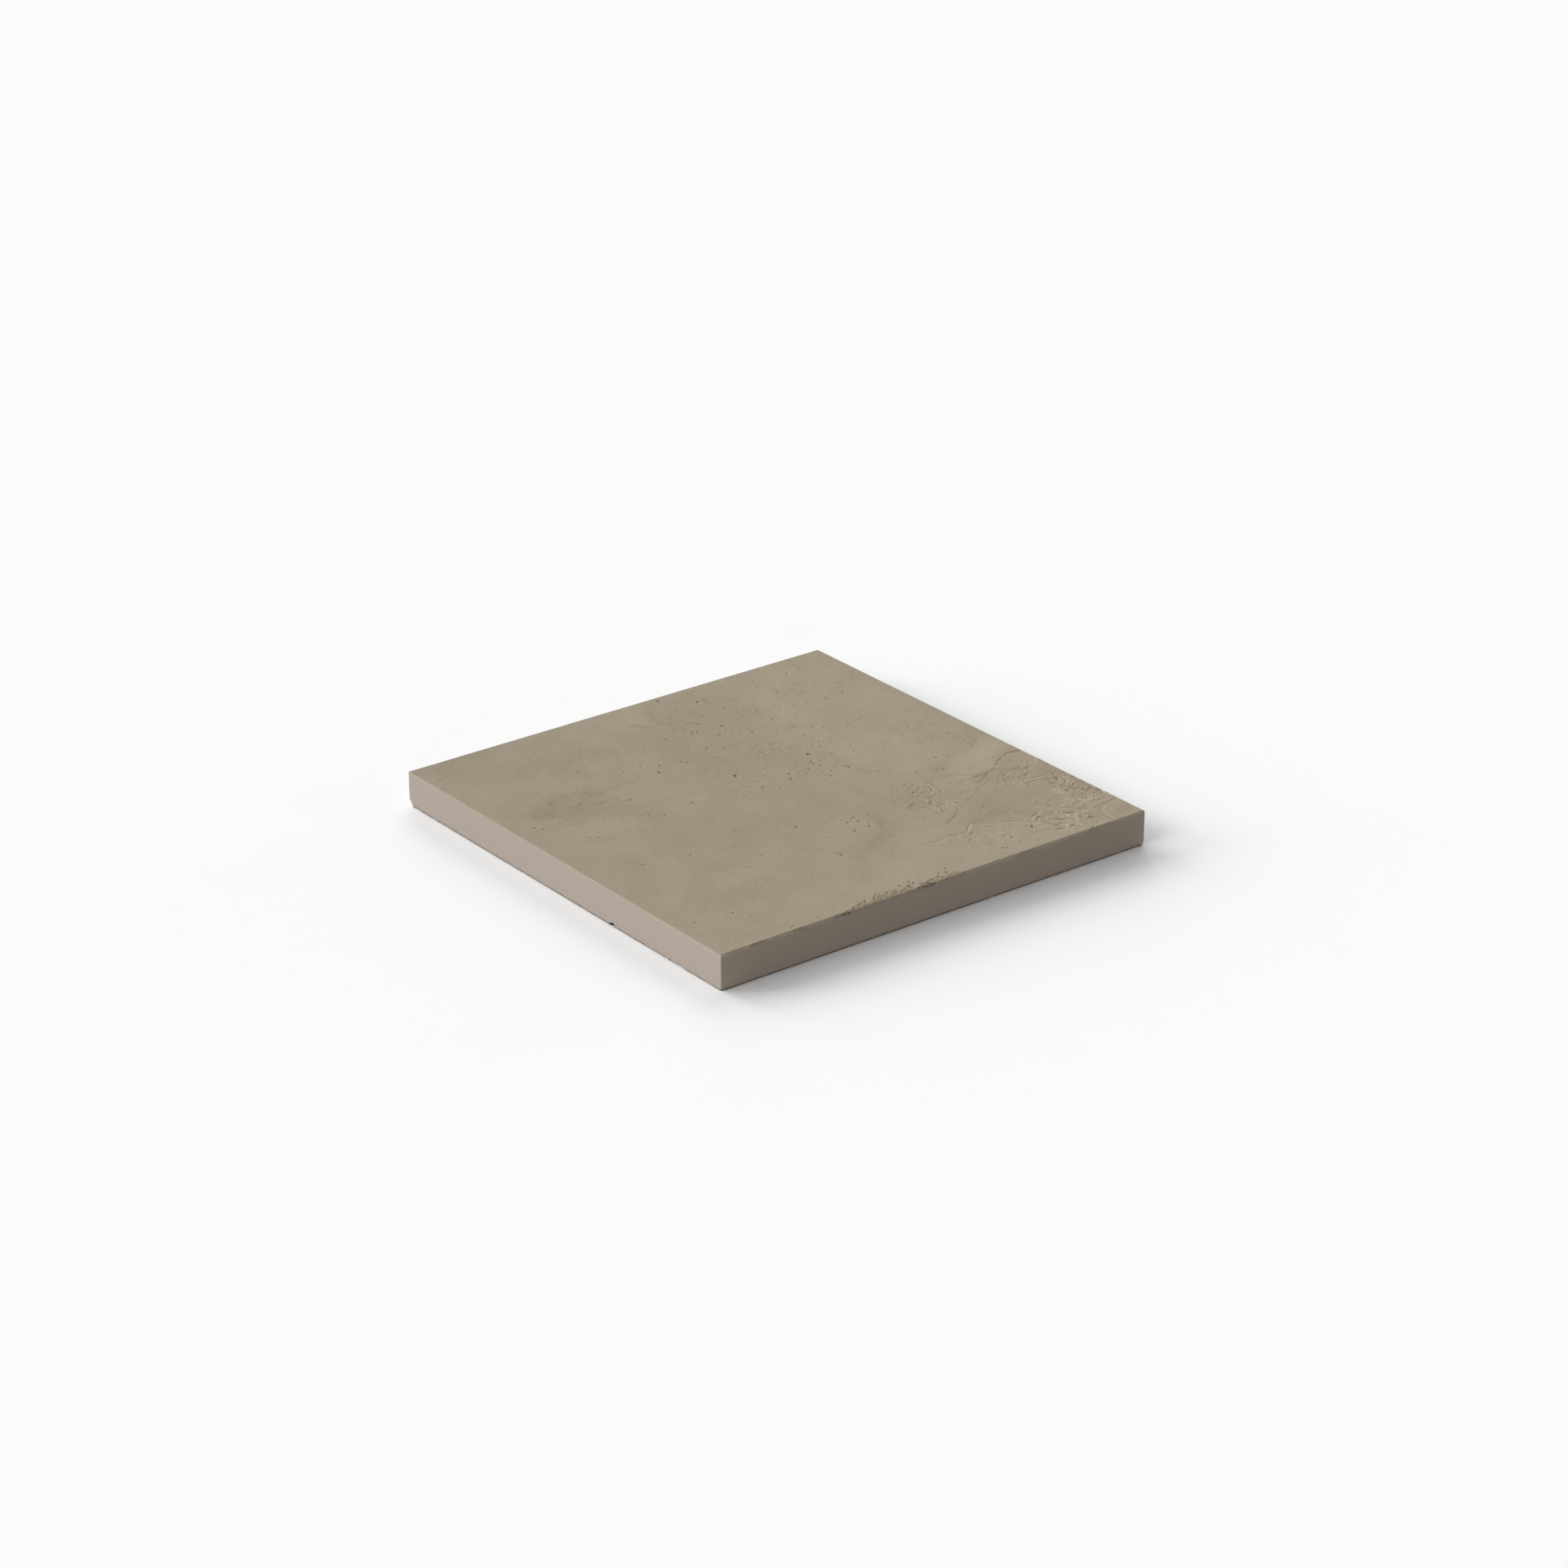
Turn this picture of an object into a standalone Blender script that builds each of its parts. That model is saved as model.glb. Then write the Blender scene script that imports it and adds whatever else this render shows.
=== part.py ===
"""Tooling slab for leatherwork: a square stone core with a thin trowelled coat bonded to its top face.

Run it with: blender --background --python part.py
Metres, +Z up. The origin is the centre of the underside, where the slab rests on the bench.
LENGTH runs along X and WIDTH along Y.
"""

import math

import bmesh
import bpy
from mathutils import Matrix, Vector

# Driving dimensions, in metres.
LENGTH = 0.305
WIDTH = 0.305
CORE_THICKNESS = 0.020
COAT_THICKNESS = 0.0017
BOND_LINE = 0.0003

# Eased edges. An arris is the line where two faces meet.
CORNER_ARRIS = 0.0006
BASE_ARRIS = 0.0009
COAT_ARRIS = 0.0008
ARRIS_SEGMENTS = 3
LEAST_COAT_LAND = 0.0004

# Wear on the core's lower corners. Each leg is how far it reaches along the three edges that meet there.
WORN_CORNER_LEGS = {
    (-1, 1): 0.0048,
    (1, -1): 0.0026,
    (-1, -1): 0.0016,
    (1, 1): 0.0022,
}
CHIP_MARGIN = 0.012
CHIP_OFFSET = 0.0003
CHIP_RINGS = 6
CHIP_SIDES = 10


class Chip:
    """A shell-shaped flake lost from the core's lower edge: how long, high and deep its scar is, and where.

    side is the outward direction of the face it shows on, and along is its distance from that face's middle.
    """

    def __init__(self, name, side, along, length, height, depth):
        self.name = name
        self.side = Vector((*side, 0.0))
        self.along = along
        self.length = length
        self.height = height
        self.depth = depth

    def centre(self):
        """The cutter's centre, just outside the lower edge and kept clear of the slab's corners."""
        half = Vector((LENGTH / 2 + CHIP_OFFSET, WIDTH / 2 + CHIP_OFFSET, 0.0))
        run = Vector((abs(self.side.y), abs(self.side.x), 0.0))
        limit = half.dot(run) - CHIP_MARGIN - self.length / 2
        along = max(-limit, min(limit, self.along))
        return Vector((self.side.x * half.x, self.side.y * half.y, -CHIP_OFFSET)) + run * along

    def half_sizes(self):
        """Half the cutter's size along X, Y and Z."""
        depth = self.depth + CHIP_OFFSET
        height = self.height + CHIP_OFFSET
        if self.side.x:
            return Vector((depth, self.length / 2, height))
        return Vector((self.length / 2, depth, height))


CHIPS = [
    Chip("chip_notch", (-1, 0), -0.046, 0.0085, 0.0016, 0.0022),
    Chip("chip_long", (-1, 0), -0.113, 0.0180, 0.0011, 0.0016),
    Chip("chip_left", (-1, 0), 0.126, 0.0060, 0.0010, 0.0014),
    Chip("chip_front", (0, -1), 0.038, 0.0070, 0.0009, 0.0012),
]


def clear_scene():
    """Removes the startup objects."""
    for obj in list(bpy.data.objects):
        bpy.data.objects.remove(obj)


def mineral(name, colour, roughness):
    """A matt mineral material."""
    material = bpy.data.materials.new(name)
    material.use_nodes = True
    shader = material.node_tree.nodes["Principled BSDF"]
    shader.inputs["Base Color"].default_value = (*colour, 1.0)
    shader.inputs["Roughness"].default_value = roughness
    shader.inputs["Metallic"].default_value = 0.0
    return material


def add_object(name, mesh_builder, material=None):
    """Links a new object whose mesh is what mesh_builder holds."""
    mesh = bpy.data.meshes.new(name)
    mesh_builder.to_mesh(mesh)
    mesh_builder.free()
    obj = bpy.data.objects.new(name, mesh)
    bpy.context.scene.collection.objects.link(obj)
    if material:
        mesh.materials.append(material)
    return obj


def outline(builder, half_length, half_width, height):
    """A level ring of points, anticlockwise from +X: a rectangle, its corners rounded to CORNER_ARRIS."""
    ring = []
    for quarter, (side_x, side_y) in enumerate(((1, 1), (-1, 1), (-1, -1), (1, -1))):
        centre_x = side_x * (half_length - CORNER_ARRIS)
        centre_y = side_y * (half_width - CORNER_ARRIS)
        for step in range(ARRIS_SEGMENTS + 1):
            angle = math.radians(90) * (quarter + step / ARRIS_SEGMENTS)
            x = centre_x + CORNER_ARRIS * math.cos(angle)
            y = centre_y + CORNER_ARRIS * math.sin(angle)
            ring.append(builder.verts.new((x, y, height)))
    return ring


def quarter_round(radius):
    """How far each point of an eased edge lies from the level face and from the upright one."""
    if not radius:
        return [(0.0, 0.0)]
    angles = [math.radians(90) * step / ARRIS_SEGMENTS for step in range(ARRIS_SEGMENTS + 1)]
    return [(radius * (1 - math.cos(angle)), radius * (1 - math.sin(angle))) for angle in angles]


def plate(thickness, base_arris=0.0, top_arris=0.0):
    """A slab that stands on z = 0, centred on the Z axis, its lower and upper edges eased to these radii."""
    builder = bmesh.new()
    levels = quarter_round(base_arris)
    levels += [(thickness - drop, inset) for drop, inset in reversed(quarter_round(top_arris))]
    rings = [outline(builder, LENGTH / 2 - inset, WIDTH / 2 - inset, height) for height, inset in levels]
    for lower, upper in zip(rings, rings[1:]):
        for i in range(len(lower)):
            following = (i + 1) % len(lower)
            builder.faces.new((lower[i], lower[following], upper[following], upper[i]))
    builder.faces.new(reversed(rings[0]))
    builder.faces.new(rings[-1])
    return builder


def trim_corner(builder, signs, leg):
    """Cuts one lower corner off with a plane that meets its three edges a leg away from the corner."""
    corner = Vector((signs[0] * LENGTH / 2, signs[1] * WIDTH / 2, 0.0))
    outward = Vector((signs[0], signs[1], -1.0)).normalized()
    on_plane = corner - Vector((signs[0] * leg, 0.0, 0.0))
    geometry = builder.verts[:] + builder.edges[:] + builder.faces[:]
    cut = bmesh.ops.bisect_plane(
        builder,
        geom=geometry,
        plane_co=on_plane,
        plane_no=outward,
        clear_outer=True,
    )
    rim = [part for part in cut["geom_cut"] if isinstance(part, bmesh.types.BMEdge)]
    bmesh.ops.contextual_create(builder, geom=rim)


def chip_cutter(chip):
    """The rounded body that leaves a chip's scar, hidden from renders."""
    builder = bmesh.new()
    half = chip.half_sizes()
    place = Matrix.Translation(chip.centre()) @ Matrix.Diagonal((*half, 1.0))
    bmesh.ops.create_uvsphere(
        builder, u_segments=CHIP_SIDES, v_segments=CHIP_RINGS, radius=1.0, matrix=place
    )
    cutter = add_object(chip.name, builder)
    cutter.hide_render = True
    cutter.display_type = "WIRE"
    return cutter


def build_core(material):
    """The stone core, with its eased edges, worn corners and chips."""
    builder = plate(CORE_THICKNESS, base_arris=BASE_ARRIS)
    for signs, leg in WORN_CORNER_LEGS.items():
        trim_corner(builder, signs, leg)
    bmesh.ops.recalc_face_normals(builder, faces=builder.faces[:])
    core = add_object("slab_core", builder, material)
    for chip in CHIPS:
        cut = core.modifiers.new(chip.name, "BOOLEAN")
        cut.operation = "DIFFERENCE"
        cut.solver = "EXACT"
        cut.object = chip_cutter(chip)
    return core


def build_coat(material):
    """The trowelled coat, with a rounded top edge, on the bond line above the core."""
    radius = min(COAT_ARRIS, COAT_THICKNESS - LEAST_COAT_LAND)
    builder = plate(COAT_THICKNESS, top_arris=radius)
    coat = add_object("face_coat", builder, material)
    coat.location.z = CORE_THICKNESS + BOND_LINE
    return coat


def main():
    """Builds the slab."""
    clear_scene()
    stone = mineral("stone_taupe", (0.42, 0.36, 0.31), 0.75)
    skim = mineral("skim_olive", (0.34, 0.29, 0.215), 0.55)
    core = build_core(stone)
    coat = build_coat(skim)
    for obj in (core, coat):
        obj.data.shade_smooth()
        obj.data.set_sharp_from_angle(angle=math.radians(30))


main()
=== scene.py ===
"""Tooling slab for leatherwork: a sawn stone core under a thin trowelled skim coat, in a plain studio.

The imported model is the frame: each piece takes its place and size from the node that it stands for.
Lengths are in metres with +Z up, except where a name ends in _mm. Headings are in degrees from +X.
"""

import logging
import math
from collections.abc import Mapping, Sequence
from dataclasses import dataclass, field
from enum import Enum
from typing import Any

import bpy
import numpy as np
from mathutils import Matrix, Vector


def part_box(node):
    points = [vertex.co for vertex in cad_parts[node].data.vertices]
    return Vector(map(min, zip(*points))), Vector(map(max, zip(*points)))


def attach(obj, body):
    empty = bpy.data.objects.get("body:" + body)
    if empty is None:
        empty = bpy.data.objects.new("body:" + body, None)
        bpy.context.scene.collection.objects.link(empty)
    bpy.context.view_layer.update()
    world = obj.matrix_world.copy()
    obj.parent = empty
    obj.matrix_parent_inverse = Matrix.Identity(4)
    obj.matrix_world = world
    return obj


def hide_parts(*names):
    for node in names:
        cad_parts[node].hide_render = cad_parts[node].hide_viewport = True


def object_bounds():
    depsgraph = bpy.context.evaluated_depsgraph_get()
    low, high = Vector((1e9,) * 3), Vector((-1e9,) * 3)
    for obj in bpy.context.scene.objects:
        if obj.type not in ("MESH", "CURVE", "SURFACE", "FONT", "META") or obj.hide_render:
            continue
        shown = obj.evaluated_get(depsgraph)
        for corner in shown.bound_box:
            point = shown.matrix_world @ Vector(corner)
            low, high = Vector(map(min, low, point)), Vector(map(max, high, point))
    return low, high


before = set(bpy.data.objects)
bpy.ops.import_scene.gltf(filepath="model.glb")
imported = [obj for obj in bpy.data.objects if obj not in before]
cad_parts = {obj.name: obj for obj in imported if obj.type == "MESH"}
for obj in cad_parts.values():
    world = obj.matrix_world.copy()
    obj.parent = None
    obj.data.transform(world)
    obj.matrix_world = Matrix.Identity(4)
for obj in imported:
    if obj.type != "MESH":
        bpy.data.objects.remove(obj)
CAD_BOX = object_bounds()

LOG = logging.getLogger("tooling_slab")
BODY = "root"
MM = 0.001
Array = np.ndarray
Point = tuple[float, float]
Colour = tuple[float, float, float]
Socket = bpy.types.NodeSocket

# The gap left between the two pieces, where the coat is bonded to the core.
JOINT_GAP = 0.02 * MM

# Large odd numbers that mix a lattice point's place and seed, and the bits that are kept.
MIX_COLUMN = 374761393
MIX_ROW = 668265263
MIX_SEED = 974711
MIX_ALL = 1274126177
WORD = 0xFFFFFFFF
KEPT_BITS = 0xFFFFFF

# How strong the noise is, and how much finer and how differently seeded each of its layers is.
NOISE_GAIN = 1.5
OCTAVE_STEP = 2.03
OCTAVE_SEED_STEP = 17


def added(name: str, data: bpy.types.ID) -> bpy.types.Object:
    """Adds an object with this data to the scene."""
    thing = bpy.data.objects.new(name, data)
    bpy.context.scene.collection.objects.link(thing)
    return thing


# ----------------------------------------
# Small mathematics


def smoothstep(low: float, high: float, value: Array) -> Array:
    """Rises smoothly from 0 at low to 1 at high, and holds both ends; high may lie below low."""
    ramp = np.clip((value - low) / (high - low), 0.0, 1.0)
    return ramp * ramp * (3.0 - 2.0 * ramp)


def scatter(column: Array, row: Array, seed: int) -> Array:
    """Gives each lattice point its own number, always the same for one seed.

    Args:
        column: the points' whole columns.
        row: their whole rows.
        seed: picks the numbers.

    Returns:
        A number from 0 to just under 1 for each point.
    """
    mixed = (column * MIX_COLUMN + row * MIX_ROW + seed * MIX_SEED) & WORD
    mixed = ((mixed ^ (mixed >> 13)) * MIX_ALL) & WORD
    return ((mixed ^ (mixed >> 16)) & KEPT_BITS) / (KEPT_BITS + 1)


def gradient_noise(x: Array, y: Array, seed: int) -> Array:
    """Smooth noise from about -1 to 1 whose features are one unit across.

    Args:
        x: coordinates, in units of the noise's pitch.
        y: the same, across.
        seed: picks the pattern.

    Returns:
        The noise at each point.
    """
    column, row = np.floor(x).astype(np.int64), np.floor(y).astype(np.int64)
    across, along = x - column, y - row
    ease_x = across**3 * (across * (across * 6 - 15) + 10)
    ease_y = along**3 * (along * (along * 6 - 15) + 10)
    total = np.zeros(np.broadcast(x, y).shape)
    for dx in (0, 1):
        for dy in (0, 1):
            angle = scatter(column + dx, row + dy, seed) * 2.0 * math.pi
            slope = np.cos(angle) * (across - dx) + np.sin(angle) * (along - dy)
            total += (ease_x if dx else 1 - ease_x) * (ease_y if dy else 1 - ease_y) * slope
    return total * NOISE_GAIN


def turned(x: Array, y: Array, heading: float) -> tuple[Array, Array]:
    """How far each place lies along a heading, and how far to its left."""
    turn = math.radians(heading)
    return x * math.cos(turn) + y * math.sin(turn), y * math.cos(turn) - x * math.sin(turn)


@dataclass(frozen=True)
class Noise:
    """Smooth noise over the face, drawn out along a heading.

    Attributes:
        pitch_mm: size of its largest features, across the heading.
        seed: picks the pattern.
        stretch: how many times longer the features are along the heading.
        heading: the direction of the long way.
        octaves: how many layers it has, each finer and weaker than the last.
    """

    pitch_mm: float
    seed: int
    stretch: float = 1.0
    heading: float = 0.0
    octaves: int = 3

    def at(self, x: Array, y: Array) -> Array:
        """Reads the noise.

        Args:
            x: places across the face, in millimetres from its middle.
            y: places along it.

        Returns:
            The noise at each place.
        """
        along, across = turned(x, y, self.heading)
        along, across = along / (self.pitch_mm * self.stretch), across / self.pitch_mm
        total, weight = 0.0, 1.0
        for octave in range(self.octaves):
            scale = OCTAVE_STEP**octave
            seed = self.seed + OCTAVE_SEED_STEP * octave
            total = total + weight * gradient_noise(along * scale, across * scale, seed)
            weight *= 0.5
        return total


# ----------------------------------------
# Marks that the trowel and the years left in the skim coat


@dataclass
class Surface:
    """What the coat's face is like at each point of its grid.

    Attributes:
        x: places across the face, in millimetres, one for each grid column.
        y: places along it, one for each grid row.
        height: how far the face stands above its mean level, in millimetres.
        tone: how much lighter the coat is than its mean colour, in parts of 255 of a screen's scale; it holds
            the coat's uneven colour and the painted light and shade of its marks.
        rough: how much rougher the coat is, from 0 to 1.
    """

    x: Array
    y: Array
    height: Array = field(init=False)
    tone: Array = field(init=False)
    rough: Array = field(init=False)

    def __post_init__(self) -> None:
        """Starts level, plain and smooth."""
        shape = (self.x.size, self.y.size)
        self.height, self.tone, self.rough = np.zeros(shape), np.zeros(shape), np.zeros(shape)

    def window(self, low: Point, high: Point) -> tuple[slice, slice, Array, Array]:
        """The part of the grid between two corners.

        Args:
            low: its lowest x and y, in millimetres.
            high: its highest ones.

        Returns:
            The two index ranges, and the x and y in them, shaped to broadcast.
        """
        columns = slice(*np.searchsorted(self.x, (low[0], high[0])))
        rows = slice(*np.searchsorted(self.y, (low[1], high[1])))
        return columns, rows, self.x[columns][:, None], self.y[rows][None, :]

    def round_about(self, centre: Point, reach: float) -> tuple[slice, slice, Array, Array]:
        """The part of the grid within reach of a point, as window gives it."""
        x, y = centre
        return self.window((x - reach, y - reach), (x + reach, y + reach))


WANDER = Noise(9.0, 301)
TREMOR = Noise(2.6, 302, octaves=2)

# How strongly every stroke stands out, in height and in its painted light and shade, and how much it roughens
# the coat.
STROKE_DEPTH = 1.3
STROKE_SHADE = 1.2
STROKE_ROUGHNESS = 0.3

# How much painted light a rib's or a ripple's crest gets, and painted shade its hollow, for each millimetre
# of its height.
RUMPLE_SHADE = 22.0
RIPPLE_SHADE = 60.0

# Where the arris has crumbled: how much darker it is, and how much painted shade and depth its hollows get.
CRUMB_SHADE = 12.0
HOLLOW_SHADE = 26.0
HOLLOW_MM = 0.75

# Farther from a line than any place on the slab.
FAR = 1e9


@dataclass(frozen=True)
class Stroke:
    """A line that the trowel left: a lap's edge, a drag or a crease.

    A lap's edge drops on the right of the line's direction and feathers out on the left. A drag is a rib, or
    a groove where its height is negative.

    Attributes:
        points: the line, in millimetres.
        rib: height of a rounded rib along the line, in millimetres.
        lap: height of a lap's edge, in millimetres.
        width: width of the rib or of the lap's steep side, in millimetres.
        feather: how far the lap takes to fade out, in millimetres.
        tone: how much lighter the line itself is; it is painted light and shade that goes with the line's
            relief.
        broken: how much the line comes and goes, from 0 to 1.
        wander: how far the line strays from its points, in millimetres.
    """

    points: Sequence[Point]
    rib: float = 0.0
    lap: float = 0.0
    width: float = 0.9
    feather: float = 6.0
    tone: float = 0.0
    broken: float = 0.3
    wander: float = 0.8

    def offsets(self, x: Array, y: Array) -> tuple[Array, Array]:
        """Measures places from the line.

        Args:
            x: places across the face, in millimetres.
            y: places along it.

        Returns:
            How far each place lies from the line, positive on its left, and how far along it, from 0 to 1.
        """
        line = np.array(self.points, float)
        runs = np.hypot(*np.diff(line, axis=0).T)
        starts = np.concatenate(([0.0], np.cumsum(runs)))
        best = np.full(np.broadcast(x, y).shape, FAR)
        side, place = np.zeros_like(best), np.zeros_like(best)
        for (ax, ay), (bx, by), run, start in zip(line, line[1:], runs, starts):
            ux, uy = (bx - ax) / run, (by - ay) / run
            along = np.clip((x - ax) * ux + (y - ay) * uy, 0.0, run)
            gap = np.hypot(x - ax - along * ux, y - ay - along * uy)
            nearer = gap < best
            best = np.where(nearer, gap, best)
            side = np.where(nearer, np.sign((y - ay) * ux - (x - ax) * uy), side)
            place = np.where(nearer, (start + along) / starts[-1], place)
        return best * side, place

    def press(self, surface: Surface) -> None:
        """Leaves the stroke in the surface.

        Args:
            surface: the coat's face.
        """
        line = np.array(self.points, float)
        reach = 3.0 * self.width + 2.0 * self.wander + (2.5 * self.feather if self.lap else 0.0)
        columns, rows, x, y = surface.window(tuple(line.min(0) - reach), tuple(line.max(0) + reach))
        warped_x = x + self.wander * (WANDER.at(x, y) + 0.35 * TREMOR.at(x, y))
        warped_y = y + self.wander * (WANDER.at(x + 71.0, y) + 0.35 * TREMOR.at(x + 71.0, y))
        gap, place = self.offsets(warped_x, warped_y)
        ends = smoothstep(0.0, 0.16, place) * smoothstep(1.0, 0.84, place)
        gaps = np.clip(0.75 + 1.3 * Noise(5.0, 303, octaves=2).at(x, y), 0.0, 1.2)
        strength = ends * (1.0 - self.broken + self.broken * gaps)
        core = np.exp(-((gap / self.width) ** 2)) * strength
        surface.height[columns, rows] += STROKE_DEPTH * self.rib * core
        # Painted light and shade along the line, with its relief.
        surface.tone[columns, rows] += STROKE_SHADE * self.tone * core
        surface.rough[columns, rows] += STROKE_ROUGHNESS * core
        if self.lap:
            edge = smoothstep(-self.width, self.width, gap)
            fade = np.exp(-np.maximum(gap, 0.0) / self.feather)
            surface.height[columns, rows] += STROKE_DEPTH * self.lap * edge * fade * strength


def drag(
    points: Sequence[Point], rib: float, width: float, tone: float, broken: float = 0.3, wander: float = 0.8
) -> Stroke:
    """A rib or a groove with no lap, its sizes in this order."""
    return Stroke(points, rib=rib, width=width, tone=tone, broken=broken, wander=wander)


@dataclass(frozen=True)
class Patch:
    """An area of the coat that differs from the rest: lighter, darker, raised or rumpled.

    Attributes:
        centre: its middle, in millimetres.
        radii: half its length along the heading and half its width.
        heading: the direction of its length.
        tone: how much lighter it is.
        soft: how gradual its edge is, from 0 to 1.
        ragged: how uneven its outline is.
        rise: how far it stands up, in millimetres.
        rumple: height of the ribs in it, in millimetres.
        grain: the noise that shapes the ribs.
        rough: how much rougher it is.
    """

    centre: Point
    radii: Point
    heading: float = 0.0
    tone: float = 0.0
    soft: float = 0.6
    ragged: float = 0.25
    rise: float = 0.0
    rumple: float = 0.0
    grain: Noise = Noise(3.0, 400)
    rough: float = 0.0

    def press(self, surface: Surface) -> None:
        """Leaves the patch in the surface.

        Args:
            surface: the coat's face.
        """
        reach = max(self.radii) * (1.0 + self.soft + self.ragged)
        columns, rows, x, y = surface.round_about(self.centre, reach)
        along, across = turned(x - self.centre[0], y - self.centre[1], self.heading)
        along, across = along / self.radii[0], across / self.radii[1]
        uneven = self.ragged * Noise(min(self.radii) * 0.9, 401, octaves=4).at(x, y)
        mask = smoothstep(1.0 + self.soft / 2, 1.0 - self.soft / 2, np.hypot(along, across) + uneven)
        surface.height[columns, rows] += self.rise * mask
        surface.tone[columns, rows] += self.tone * mask
        surface.rough[columns, rows] += self.rough * mask
        if self.rumple:
            ribs = self.grain.at(x, y)
            folds = 1.0 - 2.0 * np.abs(ribs)
            surface.height[columns, rows] += self.rumple * mask * (0.6 * folds + 0.7 * ribs - 0.35)
            # Painted light on the folds of the ribs and painted shade between them.
            surface.tone[columns, rows] += RUMPLE_SHADE * self.rumple * mask * (folds - 0.45)


def cloud(
    centre: Point, radii: Point, heading: float, tone: float, soft: float, ragged: float
) -> Patch:
    """A patch that differs in tone only, its sizes in this order."""
    return Patch(centre, radii, heading, tone=tone, soft=soft, ragged=ragged)


@dataclass(frozen=True)
class Thicket:
    """An area with many short fine strokes, some of them ribs and some grooves.

    Attributes:
        centre: its middle, in millimetres.
        radii: half its length along the heading and half its width.
        heading: the direction of its length, which the strokes more or less follow.
        count: how many strokes there are.
        length: how long a stroke is on average, in millimetres.
        width: how wide one is.
        rib: how high or deep one is on average, in millimetres.
        tone: how much lighter a rib is, or darker a groove, as painted light and shade.
        seed: picks the strokes.
        spread: how far a stroke may turn from the heading, in degrees.
        lightness: the share of strokes that are ribs.
    """

    centre: Point
    radii: Point
    heading: float
    count: int
    length: float
    width: float
    rib: float
    tone: float
    seed: int
    spread: float = 40.0
    lightness: float = 0.5

    def press(self, surface: Surface) -> None:
        """Leaves the strokes in the surface.

        Args:
            surface: the coat's face.
        """
        random = np.random.default_rng(self.seed)
        turn = math.radians(self.heading)
        for _ in range(self.count):
            out, round_about = math.sqrt(random.uniform()), random.uniform(0.0, 2.0 * math.pi)
            along = self.radii[0] * out * math.cos(round_about)
            across = self.radii[1] * out * math.sin(round_about)
            middle = (
                self.centre[0] + along * math.cos(turn) - across * math.sin(turn),
                self.centre[1] + along * math.sin(turn) + across * math.cos(turn),
            )
            way = turn + math.radians(random.normal(0.0, self.spread))
            half = self.length * random.uniform(0.3, 1.0) / 2
            bow = random.normal(0.0, 0.22) * half
            ahead = np.array((math.cos(way), math.sin(way)))
            aside = np.array((-ahead[1], ahead[0])) * bow
            points = [
                tuple(np.array(middle) + ahead * half * step + aside * (1 - step * step))
                for step in (-1.0, -0.35, 0.35, 1.0)
            ]
            force = random.uniform(0.4, 1.3) * (1.0 if random.uniform() < self.lightness else -1.0)
            width = self.width * random.uniform(0.7, 1.3)
            drag(points, self.rib * force, width, self.tone * force, 0.5, 0.3).press(surface)


@dataclass(frozen=True)
class Chatter:
    """Fine even ripples where the trowel juddered.

    Attributes:
        centre: the middle of the rippled area, in millimetres.
        radii: half its length along the ripples and half its width.
        heading: the direction in which each ripple runs.
        pitch: distance from ripple to ripple, in millimetres.
        height: how high they are, in millimetres.
    """

    centre: Point
    radii: Point
    heading: float
    pitch: float
    height: float

    def press(self, surface: Surface) -> None:
        """Leaves the ripples in the surface.

        Args:
            surface: the coat's face.
        """
        columns, rows, x, y = surface.round_about(self.centre, max(self.radii) * 1.3)
        along, across = turned(x - self.centre[0], y - self.centre[1], self.heading)
        spread = np.hypot(along / self.radii[0], across / self.radii[1])
        breaks = Noise(4.0, 411, stretch=4.0, heading=self.heading, octaves=2).at(x, y)
        mask = smoothstep(1.2, 0.6, spread) * np.clip(0.4 + 1.6 * breaks, 0.0, 1.0)
        bend = 0.8 * Noise(16.0, 412, octaves=2).at(x, y)
        wave = np.cos(2.0 * math.pi * (across + bend) / self.pitch)
        surface.height[columns, rows] += self.height * mask * wave
        # Painted light on the ripples' crests and painted shade in their troughs.
        surface.tone[columns, rows] += RIPPLE_SHADE * self.height * mask * wave


@dataclass(frozen=True)
class Crumble:
    """A stretch of the front arris where the coat has broken away in crumbs.

    Attributes:
        middle: where it lies along the arris, in millimetres.
        length: how long it is.
        reach: how far it eats into the face.
        drop: how much height is lost at the arris.
    """

    middle: float
    length: float
    reach: float
    drop: float

    def press(self, surface: Surface, edge: float) -> None:
        """Breaks the surface away.

        Args:
            surface: the coat's face.
            edge: the y of the arris, in millimetres.
        """
        low = (self.middle - self.length / 2, surface.y[0] - 1.0)
        high = (self.middle + self.length / 2, edge + self.reach * 1.4)
        columns, rows, x, y = surface.window(low, high)
        spread = np.clip(1.0 - (2.0 * (x - self.middle) / self.length) ** 2, 0.0, 1.0)
        ragged = 0.72 + 0.55 * Noise(7.0, 421, octaves=4).at(x, y)
        depth = np.maximum(self.reach * np.sqrt(spread) * ragged, 0.05)
        inward = 1.0 - (y - edge) / depth
        loss = smoothstep(0.0, 1.0, inward)
        rim = smoothstep(0.0, 0.12, inward) * smoothstep(0.75, 0.2, inward)
        crumbs = Noise(1.7, 422).at(x, y)
        hollows = np.clip(-crumbs - 0.08, 0.0, 1.0)
        lost = self.drop * loss * (1.0 + 0.5 * crumbs) + HOLLOW_MM * rim * hollows
        # The hollows get painted shade.
        dark = CRUMB_SHADE * loss + HOLLOW_SHADE * rim * hollows - CRUMB_SHADE * crumbs * loss
        surface.height[columns, rows] -= lost
        surface.tone[columns, rows] -= dark
        surface.rough[columns, rows] += 0.8 * smoothstep(0.0, 0.3, inward)


@dataclass(frozen=True)
class Pinhole:
    """A small round hole where an air bubble broke in the wet coat.

    Attributes:
        place: its middle, in millimetres.
        radius: its radius, in millimetres.
    """

    place: Point
    radius: float = 0.7


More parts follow.
